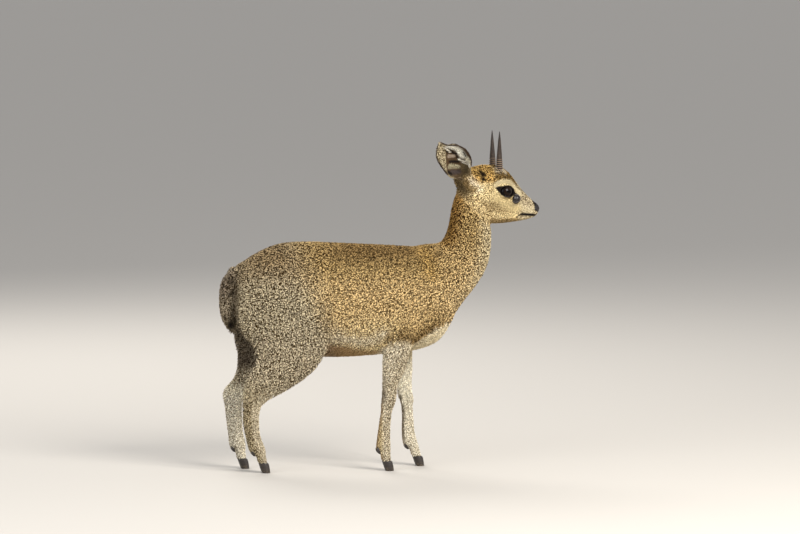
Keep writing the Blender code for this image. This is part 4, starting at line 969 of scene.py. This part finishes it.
lie = by_part(LIE)
ear_share = part_share("ear_right", "ear_left")
head_lie = np.column_stack([np.full(len(co), -1.0), np.zeros(len(co)), 0.55 * smooth(hz, 0.63, 0.68) - 0.18])
lie += head_share[:, None] * (head_lie @ np.array(HEAD.to_3x3()).T - lie)
lie += ear_lie - ear_share[:, None] * lie
rump = part_share("torso") * smooth(-normals[:, 0], 0.5, 0.9)
breast = part_share("torso", "neck") * smooth(normals[:, 0], 0.5, 0.9)
lie += np.clip(rump + breast, 0, 1)[:, None] * (np.array((-0.1, 0.0, -1.0)) - lie)
lie = laid(softened(laid(lie, normals), edges, 8), normals)

lock_length = by_part(LOCK_LENGTH)
lock_length += head_share * lock_length * (0.9 * (1 - smooth(hx, -0.01, 0.045)) - 0.50 *
                                           smooth(hx, 0.07, 0.14))
crown = head_share * smooth(hz + 0.5 * (hx - 0.06), 0.670, 0.690) * smooth(hx, -0.01, 0.02)
lock_length *= 1 + 1.1 * crown
lock_length += ear_length - ear_share * lock_length
lock_depth = depth * (1 + 1.6 * crown) + 0.0008 * ear_share + 0.0012 * inner_ear
hoof_line = part_share(*[f"{end}_shank_{side}" for end, side in LEGS]) * (1 - smooth(z, 0.024, 0.030))
hairless = np.clip(bare + hoof_line, 0, 1)


def locks(name, count, chosen, seed, middle_line, width=1.0):
    """A piece of coat: locks on the chosen faces of the skin, as one joined mesh."""
    draw = np.random.default_rng(RANDOM_SEED + seed)
    weight = face_area * (1 - hairless[corners].mean(axis=1)) * chosen / lock_length[corners].mean(axis=1)
    total = np.cumsum(weight)
    at = np.searchsorted(total, (np.arange(count) + draw.random(count)) / count * total[-1])
    at = np.minimum(at, len(corners) - 1)
    a, b = draw.random((2, count))
    a, b = np.where(a + b > 1, 1 - a, a), np.where(a + b > 1, 1 - b, b)
    mix = np.stack([1 - a - b, a, b], axis=1)[:, :, None]

    def carried(rows):
        return (rows.reshape(len(co), -1)[corners[at]] * mix).sum(axis=1)

    root, upright, colour = carried(co), unit(carried(normals)), carried(coat_colour)
    length = carried(lock_length) * draw.uniform(0.8, 1.2, (count, 1))
    height = carried(lock_depth)
    centres = draw.choice(count, max(count // 7, 1), replace=False)
    tree = KDTree(len(centres))
    for k, centre in enumerate(centres):
        tree.insert(root[centre], k)
    tree.balance()
    clump = np.array([tree.find(point)[1] for point in root])
    swing = np.radians(draw.normal(0, 13, len(centres)))[clump] + np.radians(draw.normal(0, 7, count))
    ahead = laid(carried(lie), upright)
    ahead = ahead * np.cos(swing)[:, None] + np.cross(upright, ahead) * np.sin(swing)[:, None]
    aside = np.cross(ahead, upright)
    middle = root + ahead * length * 0.5 + upright * height * draw.uniform(0.55, 1.0, (count, 1))
    tip = root + ahead * length + upright * height * draw.uniform(0.6, 1.35, (count, 1))
    pull = root[centres][clump] + ahead * length - tip
    pull = (pull - upright * (pull * upright).sum(axis=1, keepdims=True)) * draw.uniform(0.1, 0.45,
                                                                                         (count, 1))
    tip, middle = tip + pull, middle + pull * 0.3
    half = (0.00028 + 0.050 * length) * draw.uniform(0.75, 1.2, (count, 1)) * width
    root = root - upright * 0.0005
    verts = np.stack([root - aside * half * 0.5, root + aside * half * 0.5, middle - aside * half, middle +
                      aside * half,
                      middle + upright * half * 0.8, tip], axis=1)
    faces = np.array(LOCK_FACES)[None] + np.arange(count)[:, None, None] * 6
    mesh = bpy.data.meshes.new(name)
    mesh.vertices.add(count * 6)
    mesh.vertices.foreach_set("co", verts.ravel())
    mesh.loops.add(count * 24)
    mesh.loops.foreach_set("vertex_index", faces.ravel())
    mesh.polygons.add(count * 8)
    mesh.polygons.foreach_set("loop_start", np.arange(count * 8) * 3)
    mesh.polygons.foreach_set("use_smooth", np.ones(count * 8, bool))
    mesh.update(calc_edges=True)
    shade = np.tile(draw.random(count)[:, None], 6)
    flecks = [np.tile(carried(values), 6) for values in (fleck, fineness)]
    # Along each lock: 0 at its root to 1 at its tip, which the coat material turns into painted shade at the
    # roots.
    rows = np.stack([np.tile([0, 0, 0.5, 0.5, 0.55, 1.0], (count, 1)), shade, *flecks], axis=2)
    write_marks(mesh, np.repeat(np.clip(colour, 0, 1), 6, axis=0), np.clip(rows.reshape(-1, 4), 0, 1))
    seen = in_frame(root, middle_line)
    turn = np.arctan2(seen[:, 0], seen[:, 1]) / (2 * math.pi) + 0.5
    unwrap = np.stack([turn, (seen[:, 2] - seen[:, 2].min()) / np.ptp(seen[:, 2])], axis=1) * 0.99
    patch = unwrap[:, None, :] + np.array(LOCK_MAP)[None] * LOCK_PATCH
    mesh.uv_layers.new(name="OFBake").data.foreach_set("uv", patch.reshape(-1, 2)[faces.ravel()].ravel())
    mesh.materials.append(coat)
    obj = stood(name, mesh)
    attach(obj, "root")
    return obj


def of_parts(*names):
    return np.isin(face_part, [FLESH.index(name) for name in names]).astype(float)


def round_axis(centre, toward):
    """A frame whose Z runs along a limb or the trunk, for unrolling its coat flat."""
    return Matrix.Translation(centre) @ Vector(toward).to_track_quat("Z", "Y").to_matrix().to_4x4()


trunk_line = round_axis((0, 0, 0.40), (1, 0, 0))
neck_line = round_axis((0.19, 0.0, 0.53), (0.35, 0.05, 0.93))
right_side, in_front = face_middle[:, 1] < 0, face_middle[:, 0] >= TRUNK_SPLIT
quarters = (("right_front", 20000, right_side & in_front), ("right_rear", 18000, right_side & ~in_front),
            ("left_front", 20000, ~right_side & in_front), ("left_rear", 18000, ~right_side & ~in_front))
for number, (quarter, count, chosen) in enumerate(quarters, 1):
    locks("coat_trunk_" + quarter, count, of_parts("torso") * chosen, number, trunk_line)
locks("coat_neck", 19000, of_parts("neck"), 5, neck_line)
locks("coat_head", 24000, of_parts("head"), 6, HEAD @ round_axis((0.05, 0, 0.625), (1, 0, -0.3)))
for number, (side, word) in enumerate(SIDES):
    outside = 1 - inner_ear[corners].mean(axis=1)
    line = ear_frame(side, word)
    locks(f"coat_ear_back_{word}", 4500, of_parts("ear_" + word) * outside, 7 + number, line,
          0.9)
    locks(f"coat_ear_cup_{word}", 3500, of_parts("ear_" + word) * (1 - outside), 9 + number, line,
          0.55)
for number, (end, side) in enumerate(LEGS):
    low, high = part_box(f"{end}_shank_{side}")
    line = round_axis(((low.x + high.x) / 2, (low.y + high.y) / 2, 0), (0, 0, 1))
    count = 9500 if end == "hind" else 7500
    locks(f"coat_{end}_leg_{side}", count, of_parts(f"{end}_leg_{side}"), 11 + number, line)
    locks(f"coat_{end}_shank_{side}", 3800, of_parts(f"{end}_shank_{side}"), 15 + number, line)
locks("coat_tail", 2600, of_parts("tail"), 19, round_axis((-0.35, 0, 0.40), (0, 0, 1)))


# ---- Floor, light and camera ------------------------------------------------------------------
# A plain pale studio: one seamless floor, a broad soft light from the front right, a weaker one from
# behind left, and the camera where the photographer stood, far off with a long lens.
BACK_OFF, AZIMUTH, ELEVATION, WIDTH_SEEN = 14.0, math.radians(-8), math.radians(5), 1.848
AIM_OFF_MIDDLE = (0.1386, 0.4666)
HEAD_PIVOT = Vector((0.2966, 0.0, 0.0))
GROUND_POINT = EYE_PLACE - HEAD_PIVOT - Matrix.Rotation(HEAD_TURN, 3, "Z") @ EYE_CENTRE

bm = bmesh.new()
bmesh.ops.create_grid(bm, x_segments=2, y_segments=2, size=30.0)
floor = shown("floor", bm)
floor_paint, tree, surface = new_material("matt_floor_paint", 0.9, 0.1, Base_Color=(*linear("#B4AFA7"), 1))
floor.data.materials.append(floor_paint)


def lamp(name, place, size, watts, tone):
    """A square soft light that looks at the buck's chest."""
    data = bpy.data.lights.new(name, "AREA")
    data.shape = "SQUARE"
    data.size = size
    data.energy = watts
    data.color = tone
    obj = stood(name, data)
    obj.location = place
    obj.rotation_euler = (Vector((0, 0, 0.35)) - Vector(place)).to_track_quat("-Z", "Y").to_euler()


lamp("key_light", (1.9, -3.0, 2.6), 2.0, 255, (1.0, 0.97, 0.93))
lamp("fill_light", (-2.6, -2.2, 1.6), 2.5, 62, (0.96, 0.98, 1.0))
lamp("back_light", (-0.8, 3.0, 2.8), 2.0, 100, (1.0, 0.98, 0.96))
world = bpy.data.worlds.new("studio")
world.use_nodes = True
world.node_tree.nodes["Background"].inputs["Color"].default_value = (0.93, 0.95, 1.0, 1)
world.node_tree.nodes["Background"].inputs["Strength"].default_value = 0.75
bpy.context.scene.world = world
bpy.context.scene.view_settings.view_transform = "Standard"

right = Vector((math.cos(AZIMUTH), math.sin(AZIMUTH), 0))
back = Vector((math.sin(AZIMUTH) * math.cos(ELEVATION), -math.cos(AZIMUTH) * math.cos(ELEVATION),
               math.sin(ELEVATION)))
up = back.cross(right)
aim = GROUND_POINT + right * AIM_OFF_MIDDLE[0] + up * AIM_OFF_MIDDLE[1]
lens = bpy.data.cameras.new("camera")
lens.sensor_width = 36.0
lens.lens = 36.0 * BACK_OFF / WIDTH_SEEN
lens.clip_end = 100.0
camera = stood("camera", lens)
camera.matrix_world = Matrix((right, up, back)).transposed().to_4x4()
camera.location = aim + back * BACK_OFF
bpy.context.scene.camera = camera
